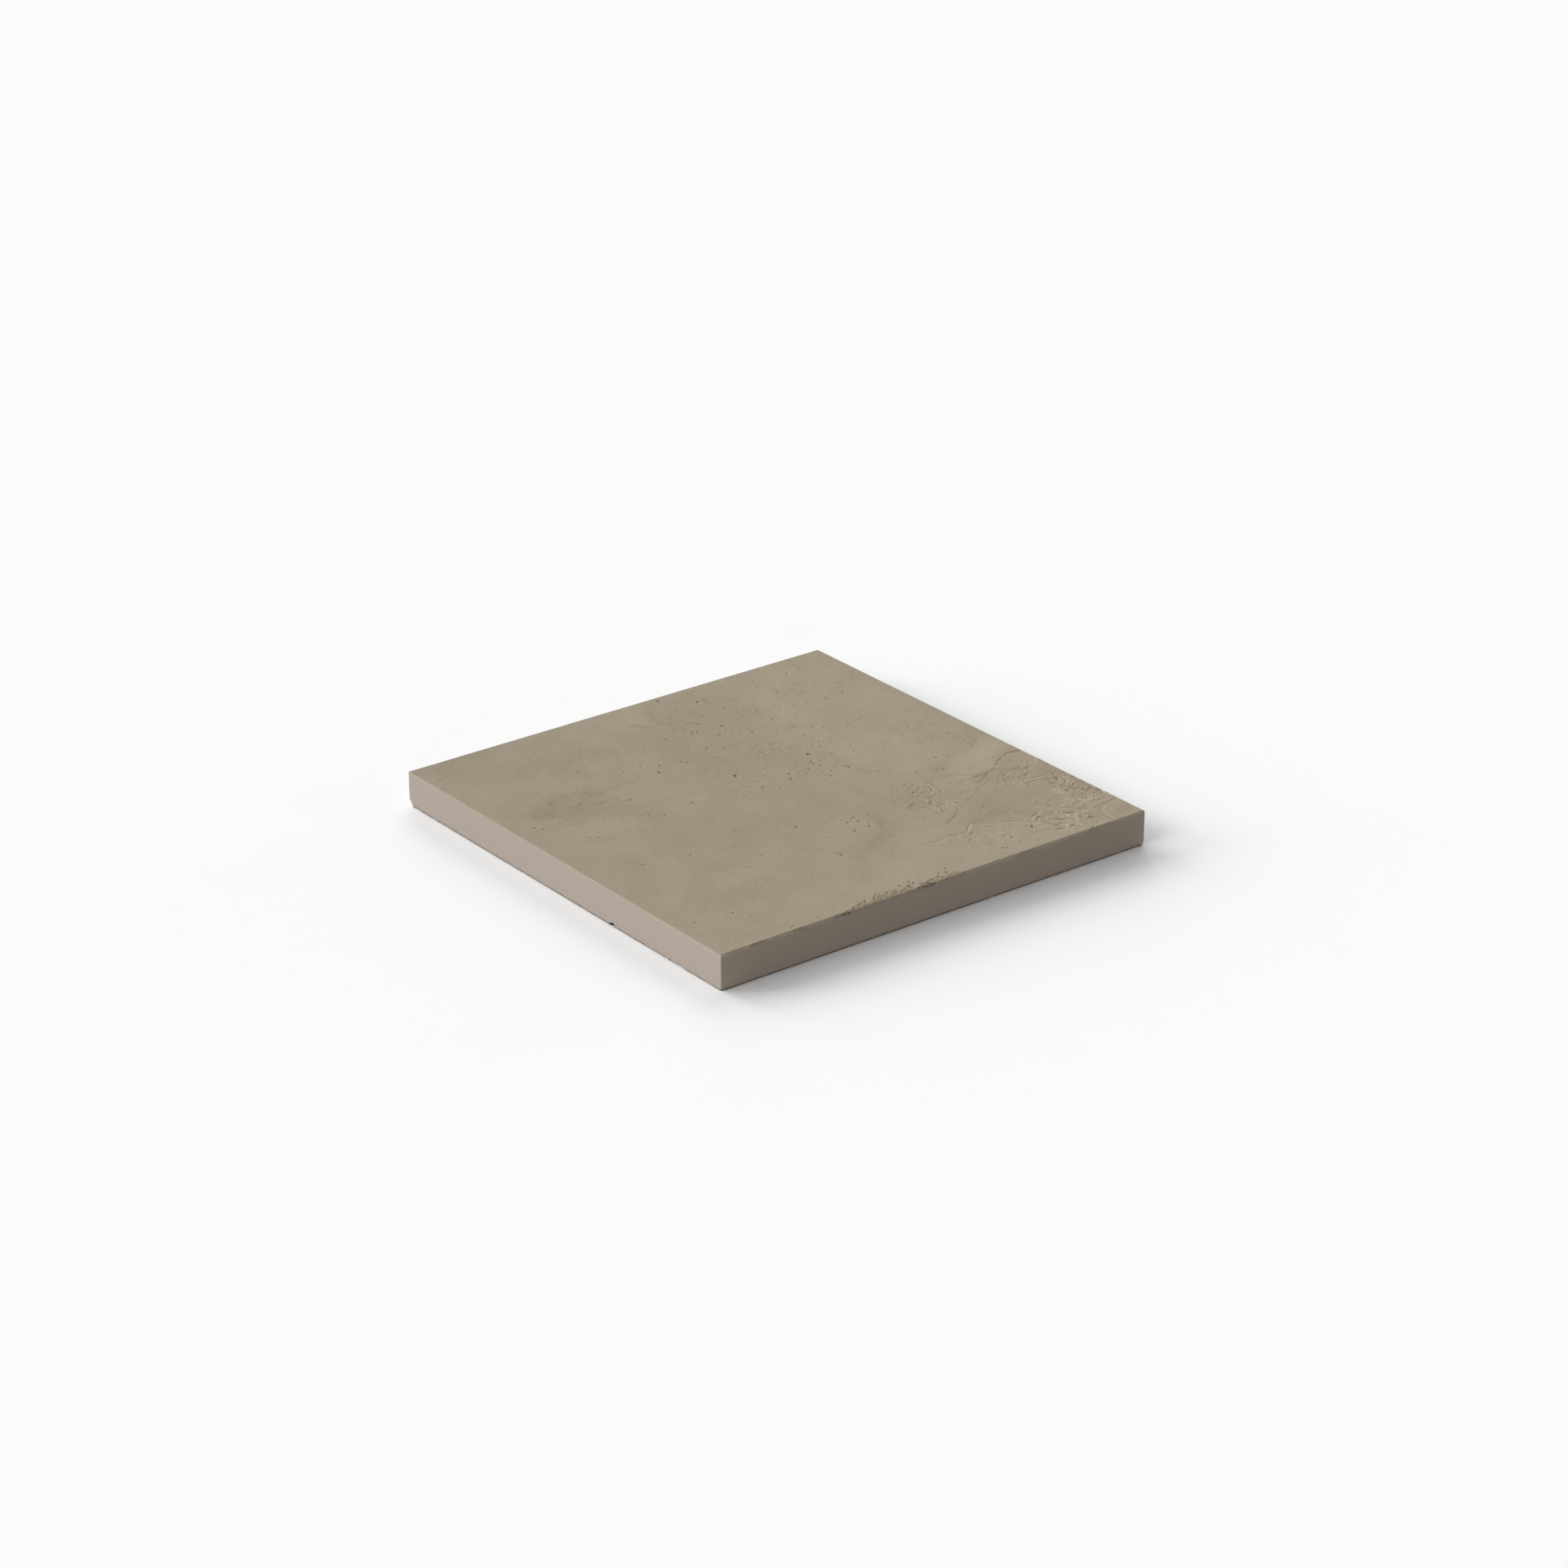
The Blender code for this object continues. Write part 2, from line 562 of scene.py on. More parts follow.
# Laps and drags that run in from the right-hand edge.
EDGE_STROKES = (
    Stroke(((156, -6.8), (146, -11.2), (141, -14.6), (136, -18), (127, -24)), lap=-0.07,
            width=0.45, feather=7, tone=-7, broken=0.6, wander=0.7),
    Stroke(((160, -44), (152, -43.5), (146, -42.2), (140.5, -42), (137, -44.5), (130, -47.8),
            (124.5, -52.6)), lap=-0.12, rib=-0.08, width=0.65, feather=5, tone=-14, broken=0.85,
            wander=0.9),
    drag(((126, -54.2), (121, -54.4), (116, -56.5), (100, -57.6), (88, -58)), -0.08, 0.6, -12,
          0.6, 0.8),
    Stroke(((118, -60.5), (112, -64.6), (104, -67.2), (98.5, -69.2), (94, -72), (90, -75.3),
            (82, -78.4), (70, -85), (59, -92.5), (50.6, -98.1)), lap=-0.05, rib=-0.04, width=0.45,
            feather=5, tone=-7, broken=0.85, wander=0.6),
    drag(((87, -42), (93, -46.5), (101, -50.5), (109, -55.5), (112, -58.5)), -0.08, 0.8, -7,
          0.55, 0.6),
    drag(((125, -57.5), (130, -61.2), (134, -63.6), (139, -67)), -0.16, 0.65, -12, 0.2, 0.3),
    Stroke(((158, -51), (150.5, -59.6), (146, -64), (141.5, -68.5), (136, -71.8)), lap=0.2,
            width=0.8, feather=3.4, tone=2, broken=0.25, wander=0.4),
    drag(((117, -83), (121.5, -80.2), (128, -80.9), (134, -81.3), (140, -80.2)), 0.15, 0.7, 9,
          0.25, 0.3),
    drag(((129, -78.4), (135, -79.2), (141, -79.3)), -0.14, 0.55, -12, 0.3, 0.3),
    drag(((124, -82), (128.5, -82.2), (131, -81.8)), -0.12, 0.5, -8, 0.3, 0.2),
    drag(((104, -98.8), (111, -97.4), (117, -95.8)), -0.05, 0.6, -4, 0.6),
    drag(((152.5, 33), (138, 26.6), (124, 19.8), (112, 13)), -0.03, 0.6, -4, 0.7, 0.6),
    drag(((146, 33), (134, 26.5), (124, 21.5)), -0.03, 0.5, -4, 0.7),
    drag(((152.5, -36), (140, -42), (129, -41.2)), -0.04, 1, -4, 0.5),
    drag(((126, -50), (133, -52), (141, -49.5)), -0.06, 0.7, -6, 0.5),
)

# The long crooked lap at the front, the marks round it, and a few that lead up from it to the middle.
FRONT_STROKES = (
    Stroke(((17, -113.5), (20, -111.5), (27, -110.6), (33, -112.6), (37, -109.8), (42, -110.2),
            (46, -111.8), (50.5, -113.2), (54, -111.2), (58, -107.2), (61, -105.6), (65, -108.8),
            (72, -112.8), (78, -115.6), (83, -117), (88, -121.6), (92.5, -125)), lap=-0.05,
            rib=-0.13, width=0.6, feather=4, tone=-11, broken=0.25, wander=0.25),
    drag(((50, -114.3), (54.5, -112.6), (58.5, -108.8), (61.5, -107), (65, -110.4)), 0.13, 0.85, 12,
          0.1, 0.25),
    drag(((62, -107.6), (68, -111.2), (74.3, -114), (80, -118.2), (85.5, -123.6), (91, -127.2),
          (97, -130.6)), 0.12, 0.7, 13, 0.1, 0.25),
    drag(((31, -112.8), (36, -111), (41, -109.4)), 0.06, 0.8, 6, 0.4),
    drag(((49, -98), (53, -96.2), (58, -93.4), (64, -91)), -0.12, 0.6, -9, 0.4, 0.3),
    drag(((-4, -105.5), (2, -104), (7, -104.6), (11, -101.6), (17, -101)), -0.05, 0.8, -4,
          0.5),
    drag(((-2, -105.8), (3, -104.6)), 0.06, 0.9, 6, 0.1),
    Stroke(((22, -56), (22.5, -64), (20, -76), (14, -83.5), (6, -91), (-6, -96),
            (-24, -107)), lap=0.16, width=2.6, feather=12, tone=-3.5, broken=0.25, wander=1.2),
    drag(((20.5, -74), (17.8, -80.4)), -0.08, 0.8, -7, 0.3, 0.3),
    drag(((35, -33), (41, -41), (45, -50)), -0.05, 1.3, -3.5, 0.4),
    drag(((52, 13), (55.5, 0.5), (57.5, -10), (60, -18)), -0.05, 1.1, -4, 0.6, 0.5),
    drag(((61.5, -34.5), (57, -41), (51.5, -47.6), (46.5, -54)), 0.06, 0.45, 5.5, 0.2, 0.2),
    drag(((60.2, -35.5), (55.8, -41.8), (50.2, -48.4), (46, -54.5)), -0.07, 0.5, -6, 0.3, 0.2),
    drag(((41, -129.5), (44, -127.6), (47.5, -127), (48.5, -123)), -0.05, 0.7, -4.5, 0.5),
    drag(((57.5, -120.5), (57, -127), (54, -131), (52.5, -136.5)), -0.07, 0.9, -5.5, 0.5),
    drag(((58.6, -127), (56.8, -131), (55.5, -136)), -0.06, 0.6, -5, 0.4),
    drag(((60.4, -119), (59.2, -127), (60.5, -131)), 0.05, 0.9, 4.5, 0.3),
    drag(((39, -135.5), (42.5, -134), (44.5, -136)), 0.05, 0.8, 4, 0.3),
    drag(((88, -136.5), (93, -140), (99, -143.5)), -0.06, 0.8, -5, 0.3),
    drag(((86, -131.5), (87, -129.3), (88.8, -127.6)), -0.35, 0.5, -26, 0, 0.1),
)

# The swirl in the front right-hand corner, where the trowel was lifted.
CORNER_STROKES = (
    drag(((90.5, -125), (93.5, -123), (97, -120.8), (101, -120.4), (104.5, -117.6)), 0.15, 0.75,
          10, 0.2, 0.2),
    drag(((92.5, -121.4), (96, -118.8), (99.5, -118.4), (102, -117)), -0.12, 0.55, -9, 0.2, 0.2),
    drag(((93.5, -125.3), (96.5, -122.6), (99.5, -121.6)), -0.13, 0.5, -10, 0.3, 0.2),
    drag(((101.5, -123), (105, -125), (110, -128.8)), -0.16, 0.8, -11, 0.3, 0.3),
    drag(((102, -126), (107, -129.5), (112, -132.6)), 0.13, 0.7, 8, 0.3, 0.3),
    drag(((103, -130.6), (107, -133), (110.5, -135.8)), -0.15, 0.6, -10, 0.3, 0.3),
    drag(((101, -133.5), (106, -136.6), (111, -140)), 0.12, 0.7, 7, 0.3, 0.3),
    drag(((95, -130.4), (99, -136), (103, -139)), -0.1, 0.7, -6, 0.4),
    drag(((102.5, -141.2), (106, -140.2), (109.5, -141.5)), 0.16, 1.1, 11, 0.3, 0.4),
    drag(((107.5, -143), (110.5, -145.2), (112.5, -144.2)), 0.16, 0.9, 11, 0.3, 0.3),
    drag(((103, -143), (106.5, -143.8), (107.5, -141.6)), -0.18, 0.6, -12, 0.3, 0.3),
    drag(((112.6, -123.5), (112.8, -127.5), (114.5, -131)), 0.17, 0.9, 11, 0.3, 0.2),
    drag(((117.5, -131), (118.3, -134), (115.5, -136.4), (112.6, -134.6), (112.2, -131.5)), 0.15, 0.6,
          10, 0.2, 0.2),
    drag(((110.6, -125.5), (111.2, -129.5), (110.8, -133)), -0.15, 0.6, -10, 0.3, 0.3),
    drag(((107.5, -108.8), (111, -111.2), (114.2, -115.2)), -0.13, 0.55, -9, 0.3, 0.2),
    drag(((117.2, -120.8), (120, -118.8), (123.2, -117)), 0.14, 0.65, 10, 0.3, 0.2),
    drag(((123.4, -122.6), (124.6, -120.4), (126, -117.8)), 0.14, 0.55, 10, 0.3, 0.2),
    drag(((125, -121.4), (129.5, -119.8), (133, -120.2)), -0.14, 0.6, -10, 0.3, 0.3),
    drag(((131.6, -117.6), (134, -121.2), (138, -122.6), (143, -119.5)), 0.2, 1.5, 9, 0.25, 0.4),
    drag(((136, -119.8), (140, -121.6), (147, -124.6), (153, -123.6)), 0.14, 0.9, 7, 0.35, 0.4),
    drag(((130.4, -131.2), (134, -129.2), (139, -128.2), (146, -128.6), (153, -125.6)), 0.16, 0.9,
          8, 0.2, 0.3),
    Stroke(((131.2, -153.5), (130.8, -145), (131.4, -140.2), (134.2, -135.8), (138.6, -132.6),
            (143.5, -132.4), (147, -130.6), (154, -129.6)), lap=-0.18, rib=-0.05, width=0.7,
            feather=3, tone=-5, broken=0.1, wander=0.2),
    drag(((131.9, -153), (131.5, -145.5), (132.4, -140.8), (135.2, -136.8), (139.4, -134)), 0.1, 0.9,
          7, 0.2, 0.2),
    drag(((130.2, -153), (129.6, -145), (129.8, -139.5)), -0.1, 0.6, -8, 0.3, 0.2),
    drag(((126.6, -99.5), (129, -96.4), (132.4, -95.6), (134.6, -97.4)), -0.12, 0.55, -11, 0.1, 0.2),
    drag(((126.2, -100), (126.8, -105.5), (129.6, -110.6)), -0.09, 0.7, -7, 0.4),
    drag(((128, -112.8), (126.2, -114.4), (126.6, -116.6)), 0.12, 0.8, 8, 0.3, 0.2),
    drag(((141.5, -97), (145, -94.6), (149, -91.6)), 0.15, 0.6, 10, 0.3, 0.2),
    drag(((142, -99.4), (145.5, -98.2), (148.5, -96)), 0.16, 0.75, 12, 0.3, 0.2),
    drag(((143.5, -86.5), (143.8, -90), (142, -94)), 0.12, 0.6, 8, 0.3, 0.3),
    drag(((134.8, -85.6), (135.6, -88.4), (134.2, -90.8)), -0.14, 0.55, -10, 0.3, 0.2),
    drag(((133.6, -85.8), (134.2, -88.6), (133.2, -90.4)), 0.1, 0.55, 8, 0.3, 0.2),
    drag(((133.5, -103.6), (135.6, -105.8), (137.6, -104.6)), -0.16, 0.9, -10, 0.3, 0.3),
    drag(((138.2, -102.2), (139.2, -100.4)), 0.17, 0.7, 12, 0, 0.1),
    drag(((135.5, -116.5), (137.5, -113.5), (139, -110.5)), 0.12, 0.6, 8, 0.3, 0.3),
    drag(((143, -112.4), (147, -110.2), (151.5, -107.6)), -0.18, 1.3, -10, 0.3, 0.5),
    drag(((117, -140.4), (121.5, -141.6), (126, -138.6)), -0.18, 1.4, -9, 0.3, 0.6),
    drag(((112, -143), (113.5, -138.5), (117.5, -137)), 0.13, 0.8, 8, 0.3, 0.3),
)

# The rumpled spot on the right half, then lone marks towards the back and on the left.
SPOT_STROKES = (
    drag(((64.8, -62), (64.6, -65), (62.4, -68.8), (60.6, -72)), -0.17, 0.6, -13, 0.1, 0.15),
    drag(((63.2, -63.6), (61.6, -66.4), (59.8, -68.2)), 0.12, 1.3, 8, 0.1, 0.2),
    drag(((58, -72.6), (59.2, -76), (59.3, -80), (57.6, -83.4)), 0.17, 1, 11, 0.15, 0.3),
    drag(((60.6, -72), (61.2, -77), (60.4, -82), (57.8, -84.8)), -0.15, 0.55, -10, 0.3, 0.3),
    drag(((77.2, -48), (76.4, -52), (76.2, -57)), 0.15, 0.6, 11, 0.3, 0.2),
    drag(((78.2, -44), (78.6, -48.5), (77.6, -54)), -0.16, 0.7, -11, 0.3, 0.3),
    drag(((79, -47), (81.5, -47.2), (85, -43.6)), -0.13, 0.6, -9, 0.3, 0.3),
    drag(((82, -46.8), (84, -44.6)), 0.12, 0.5, 8, 0.3, 0.2),
    drag(((69.8, -59.4), (71.6, -61.2)), 0.15, 0.9, 11, 0, 0.2),
    drag(((65.4, -57.4), (67.6, -55.6), (70.6, -54.6)), -0.13, 0.6, -10, 0.3, 0.3),
    drag(((74.6, -50.6), (74.8, -54.6), (72.2, -57.2)), -0.13, 0.6, -9, 0.3, 0.3),
    drag(((60.4, -52.8), (63, -51.8), (64.4, -51.2)), -0.16, 0.6, -12, 0.3, 0.2),
    drag(((46.8, -49.4), (45.2, -54), (44, -60.6)), -0.1, 0.8, -8, 0.4),
    drag(((47, -69.5), (49.6, -66.2), (52.4, -64.6)), -0.12, 0.7, -9, 0.3, 0.4),
    drag(((64, -41.6), (66.4, -39.8)), -0.1, 0.55, -7, 0, 0.1),
    drag(((68.4, -40), (69.6, -43.6), (66.6, -46.4)), -0.09, 0.7, -6, 0.3, 0.3),
    drag(((-9, 126.5), (-7, 123), (-4.2, 121), (-6.8, 117.5)), -0.12, 1.2, -7, 0.6, 0.6),
    Stroke(((14.6, 147), (10.6, 134.5), (7, 126), (4.2, 117.6), (9.4, 117.2)), lap=0.08, rib=-0.06,
            width=0.6, feather=6, tone=-7, broken=0.3, wander=0.4),
    drag(((-38, 118), (-34.6, 109), (-33.6, 102), (-37.5, 96), (-44, 89)), 0.035, 0.8, 4,
          0.4, 0.5),
    drag(((22.5, 112.5), (26, 108.5), (28.6, 104), (28.4, 99.5)), 0.08, 0.7, 7, 0.3, 0.5),
    drag(((18.5, 110), (22.5, 105.5), (25, 101.5)), -0.07, 0.8, -6, 0.4),
    drag(((45.5, 149), (49, 137), (47, 124), (42, 117)), -0.04, 1, -4, 0.7, 1),
    drag(((-24, -88), (-22, -92), (-24.5, -94.8)), -0.12, 1.2, -9, 0.3),
    drag(((-21, -46), (-19.6, -48.6), (-21.6, -49.6)), -0.12, 0.9, -10, 0.2),
)

SWIRL_RIBS = Noise(3.4, 431, stretch=3.0, heading=-44.0)
STRIP_RIBS = Noise(3.6, 432, stretch=1.8, heading=38.0)
KNOB_RIBS = Noise(3.2, 433, stretch=1.6, heading=66.0)
FAINT_RIBS = Noise(5.5, 434, stretch=2.2, heading=35.0)

# Rumpled and smoothed areas.
WORKED_PATCHES = (
    Patch((108, -136), (19, 12.5), -40, tone=4, soft=0.5, rumple=0.22, grain=SWIRL_RIBS, rough=0.3),
    Patch((140, -119), (15, 7), 14, tone=4, soft=0.5, rumple=0.2, grain=STRIP_RIBS, rough=0.3),
    Patch((142.5, -96), (20, 9), 84, tone=1, soft=0.5, rumple=0.19, grain=STRIP_RIBS, rough=0.3),
    Patch((121, -128), (13, 10), 60, tone=1.5, soft=0.6, rumple=0.17, grain=SWIRL_RIBS, rough=0.2),
    Patch((131, -69), (17, 8), 10, soft=0.6, rumple=0.13, grain=STRIP_RIBS, rough=0.2),
    Patch((113, -62.5), (14, 6.5), 12, tone=-2.5, soft=0.6, rumple=0.13, grain=FAINT_RIBS, rough=0.2),
    Patch((62, -64), (18.5, 16), 60, tone=-0.5, soft=0.6, rumple=0.15, grain=KNOB_RIBS, rough=0.3),
    Patch((74, -94.5), (13, 5), 8, tone=-1, soft=0.7, rumple=0.06, grain=FAINT_RIBS),
    Patch((44, -130), (13, 8), 30, soft=0.8, rumple=0.035, grain=FAINT_RIBS),
    Patch((20, -135), (16, 9), 20, tone=-1.5, soft=0.9, rumple=0.025, grain=FAINT_RIBS),
    Patch((131, -102.6), (7.6, 4.4), -72, tone=6, soft=0.25, ragged=0.12, rise=0.07, rough=-0.3),
    Patch((106.8, -112.4), (4.2, 3.4), 20, tone=5, soft=0.3, ragged=0.2, rise=0.05, rough=-0.2),
    Patch((127.6, -113.6), (3, 2.2), 60, tone=5, soft=0.3, ragged=0.2, rise=0.05, rough=-0.2),
    Patch((145, -147), (15.5, 14), 0, tone=-1, soft=0.12, ragged=0.05, rise=-0.05, rough=-0.2),
    Patch((144.5, -143), (9, 4.2), 22, tone=-7, soft=0.6, ragged=0.2, rise=-0.03),
    Patch((147, -75), (9.5, 5.6), 38, tone=-5.5, soft=0.4, ragged=0.1, rise=-0.03, rough=-0.2),
    Patch((120, -140.5), (6.5, 3.2), -12, tone=-4.5, soft=0.5, rumple=0.08, grain=SWIRL_RIBS),
    Patch((148.5, -112.5), (6, 3.4), 40, tone=-6, soft=0.5, rumple=0.08, grain=STRIP_RIBS),
    Patch((150.5, -103), (3, 6), 0, tone=-4, soft=0.6, rumple=0.1, grain=STRIP_RIBS),
)

# Where the trowel went to and fro and left many fine strokes.
THICKETS = (
    Thicket((107, -134), (22, 13), -38, 120, 8, 0.45, 0.13, 11.5, 701, lightness=0.62),
    Thicket((115, -134), (14, 9), 20, 60, 6, 0.45, 0.13, 11, 718, spread=70, lightness=0.65),
    Thicket((139, -118), (17, 9), 15, 60, 8, 0.5, 0.12, 9, 702, lightness=0.65),
    Thicket((143, -97), (20, 9), 80, 70, 7, 0.5, 0.11, 8.5, 703),
    Thicket((122, -118), (17, 11), -35, 55, 9, 0.5, 0.1, 7.5, 704, lightness=0.6),
    Thicket((133, -67), (20, 9), 25, 55, 10, 0.5, 0.07, -6, 705),
    Thicket((108, -66), (26, 15), 8, 60, 11, 0.45, 0.06, -5.5, 706, spread=30),
    Thicket((64, -64), (22, 18), 60, 90, 6, 0.5, 0.09, 7, 707, spread=60),
    Thicket((60, -126), (34, 13), -20, 80, 9, 0.45, 0.07, 5.5, 708),
    Thicket((84, -100), (30, 12), 15, 34, 10, 0.45, 0.05, -5, 709),
    Thicket((30, 34), (36, 26), -35, 85, 6, 0.5, 0.05, -4.5, 710, spread=55),
    Thicket((20, 104), (40, 28), -30, 60, 6, 0.5, 0.05, -4.5, 711, spread=55),
    Thicket((-64, 112), (34, 20), -35, 60, 6, 0.5, 0.045, 5, 712, spread=55, lightness=0.6),
    Thicket((-100, 54), (34, 18), 5, 80, 7, 0.8, 0.03, -4.5, 713, spread=35, lightness=0.7),
    Thicket((-98, 14), (24, 10), -25, 40, 6, 0.5, 0.035, 5, 719, spread=50, lightness=0.7),
    Thicket((-96, -99), (24, 10), -20, 34, 6, 0.5, 0.045, 5, 714, spread=50, lightness=0.6),
    Thicket((-122, -80), (20, 14), 30, 26, 5, 0.5, 0.03, 4, 720, spread=60),
    Thicket((-70, 10), (50, 34), -30, 50, 6, 0.5, 0.03, 3.5, 715, spread=60),
    Thicket((8, -70), (22, 24), 70, 36, 6, 0.5, 0.05, 4.5, 716, spread=50),
    Thicket((98, 80), (46, 60), 45, 150, 8, 0.6, 0.04, -4.8, 717, spread=40),
    Thicket((118, 10), (32, 28), 30, 80, 8, 0.6, 0.045, -5, 721, spread=40),
)

# Clouds of lighter and darker colour, where the coat dried unevenly; the first, a lighter band along the
# front, is painted light.
CLOUDS = (
    cloud((20, -158), (200, 46), 0, 3.4, 1, 0.15),
    cloud((100, 40), (46, 105), -4, 2.2, 0.9, 0.2),
    cloud((2, 36), (46, 70), 0, -1.9, 0.9, 0.3),
    cloud((-98, 134), (48, 26), -8, -4.2, 1, 0.3),
    cloud((84, -62), (26, 18), 20, 2.4, 0.9, 0.3),
    cloud((62, -80), (15, 12), 0, 2, 1, 0.3),
    cloud((-86, 80), (24, 12), 0, -1.8, 1, 0.4),
    cloud((-112, -138), (36, 14), 0, -1.6, 1, 0.3),
    cloud((104, -141), (18, 8), 0, 2.4, 0.9, 0.3),
    cloud((-80, -40), (56, 24), -10, -1.3, 1, 0.3),
    Patch((-108, 55), (29, 15), 8, tone=-4.8, soft=0.8, ragged=0.6, rough=0.2),
    cloud((-122, 58), (12, 8), 0, -3.6, 0.8, 0.8),
    cloud((-103, 43), (22, 9), -12, -2.2, 1, 0.5),
    cloud((-86, 27), (26, 11), -42, -2.4, 1, 0.5),
    cloud((-66, 98), (24, 16), 0, -2, 1, 0.5),
    cloud((42, -8), (22, 26), 0, 2.2, 1, 0.3),
    cloud((-68, 6), (26, 12), -48, -1.8, 1, 0.4),
    cloud((-104, 18), (24, 10), -20, 3, 0.6, 0.5),
    cloud((-40, 50), (16, 45), -8, 1.2, 0.9, 0.4),
    cloud((-72, 126), (24, 12), -20, 1.6, 0.9, 0.6),
    cloud((-133, 132), (9, 14), 0, -3.2, 0.9, 0.6),
    cloud((-134, -136), (11, 13), 20, -2.6, 0.9, 0.5),
    cloud((-86, -64), (15, 8), -14, -3, 0.7, 0.4),
    cloud((-50, -25), (75, 22), -6, -2, 0.9, 0.4),
    cloud((-106, -97), (17, 9), -20, -2.6, 0.9, 0.6),
    cloud((-132, -78), (16, 10), 30, 1.8, 0.9, 0.5),
    cloud((-10, 88), (24, 48), -6, -2, 0.8, 0.35),
    cloud((34, 112), (26, 30), 10, -2.6, 0.7, 0.45),
    cloud((10, 44), (30, 12), 18, -2.4, 0.9, 0.5),
    cloud((-2, 137), (6.5, 15), 2, 4.2, 0.35, 0.15),
    cloud((-18, 134), (10, 16), 10, 1.6, 0.9, 0.4),
    cloud((77, 98), (16, 34), -8, 2, 0.6, 0.35),
    cloud((84, 2), (22, 30), 6, 2.2, 0.8, 0.4),
    cloud((131, 128), (30, 20), 30, 0.3, 0.9, 0.4),
    cloud((128, 62), (26, 20), 60, 1.6, 0.9, 0.4),
    cloud((128, 98), (24, 7), 42, -1.2, 0.9, 0.4),
    cloud((112, 44), (18, 6), 30, -1.6, 0.9, 0.4),
    Patch((124, -39), (28, 12), 20, tone=2.2, soft=0.4, ragged=0.18, rise=0.03, rough=-0.3),
    Patch((146, -24), (14, 8), 20, tone=2.2, soft=0.5, ragged=0.2, rough=-0.2),
    cloud((131, -34), (7, 5), 70, 3.2, 1, 0.3),
    cloud((140, 3), (13, 14), 40, -2, 0.9, 0.6),
    cloud((96, -34), (7, 5), 60, -4, 0.6, 0.2),
    cloud((64, -34), (34, 10), -8, -2.2, 0.9, 0.4),
    cloud((30, -62), (13, 16), -10, -2.6, 0.7, 0.3),
    cloud((24, -66), (4.5, 11), -12, -3.2, 0.9, 0.3),
    cloud((7, -90), (12, 5), 28, -2.6, 0.9, 0.4),
    cloud((-12, -99), (18, 6), 30, -2, 0.9, 0.4),
    cloud((11, -70), (9, 6), 55, 3.4, 0.7, 0.3),
    cloud((-14, -80.5), (22, 4.5), 16, 2.6, 0.8, 0.3),
    cloud((-60, -72), (18, 10), 20, 1.6, 0.9, 0.4),
    cloud((32, -96), (20, 11), 24, 2.8, 0.7, 0.3),
    cloud((20, -122), (34, 11), 4, 1.8, 0.8, 0.35),
    cloud((74, -135), (24, 12), -22, 2.2, 0.8, 0.3),
    cloud((-8, -136), (24, 9), 0, 2, 0.8, 0.4),
    cloud((72, -118), (12, 3), -24, 2.6, 0.8, 0.2),
    cloud((76, -103.5), (14, 4.6), 4, -5, 0.7, 0.3),
    cloud((64, -103), (5, 3.6), 30, -3, 0.9, 0.3),
    cloud((100, -100), (24, 15), 0, -1.8, 0.8, 0.3),
    cloud((86, -84.5), (10, 5), 0, -2.2, 0.6, 0.2),
    cloud((97, -54), (9, 5), -26, 1.8, 0.8, 0.4),
    cloud((108, -75), (16, 5), 10, 1.4, 0.8, 0.4),
    cloud((-30, -121), (9, 7), 20, -2.6, 0.9, 0.3),
    cloud((-70, -132), (40, 14), 0, -0.8, 0.9, 0.4),
    cloud((59, 2), (2.2, 22), 2, -1.6, 1, 0.3),
)

# Where the trowel juddered.
CHATTER = (
    Chatter((80, 141), (14, 24), 66, 2.6, 0.07),
    Chatter((135, 104.5), (11, 8), 48, 2.4, 0.045),
    Chatter((106, 44), (13, 9), 50, 2.6, 0.035),
    Chatter((-92, 84), (30, 26), 40, 2.8, 0.014),
    Chatter((132, 24), (18, 9), 26, 2.6, 0.03),
)

# Where the front arris has crumbled, the longest stretches first.
CRUMBLES = (
    Crumble(-36, 66, 9, 0.55),
    Crumble(3, 30, 7.5, 0.35),
    Crumble(-69, 12, 3.6, 0.3),
    Crumble(-98, 10, 3.4, 0.35),
    Crumble(-126, 12, 2, 0.25),
    Crumble(62, 16, 1.4, 0.12),
    Crumble(117, 22, 1.6, 0.15),
)

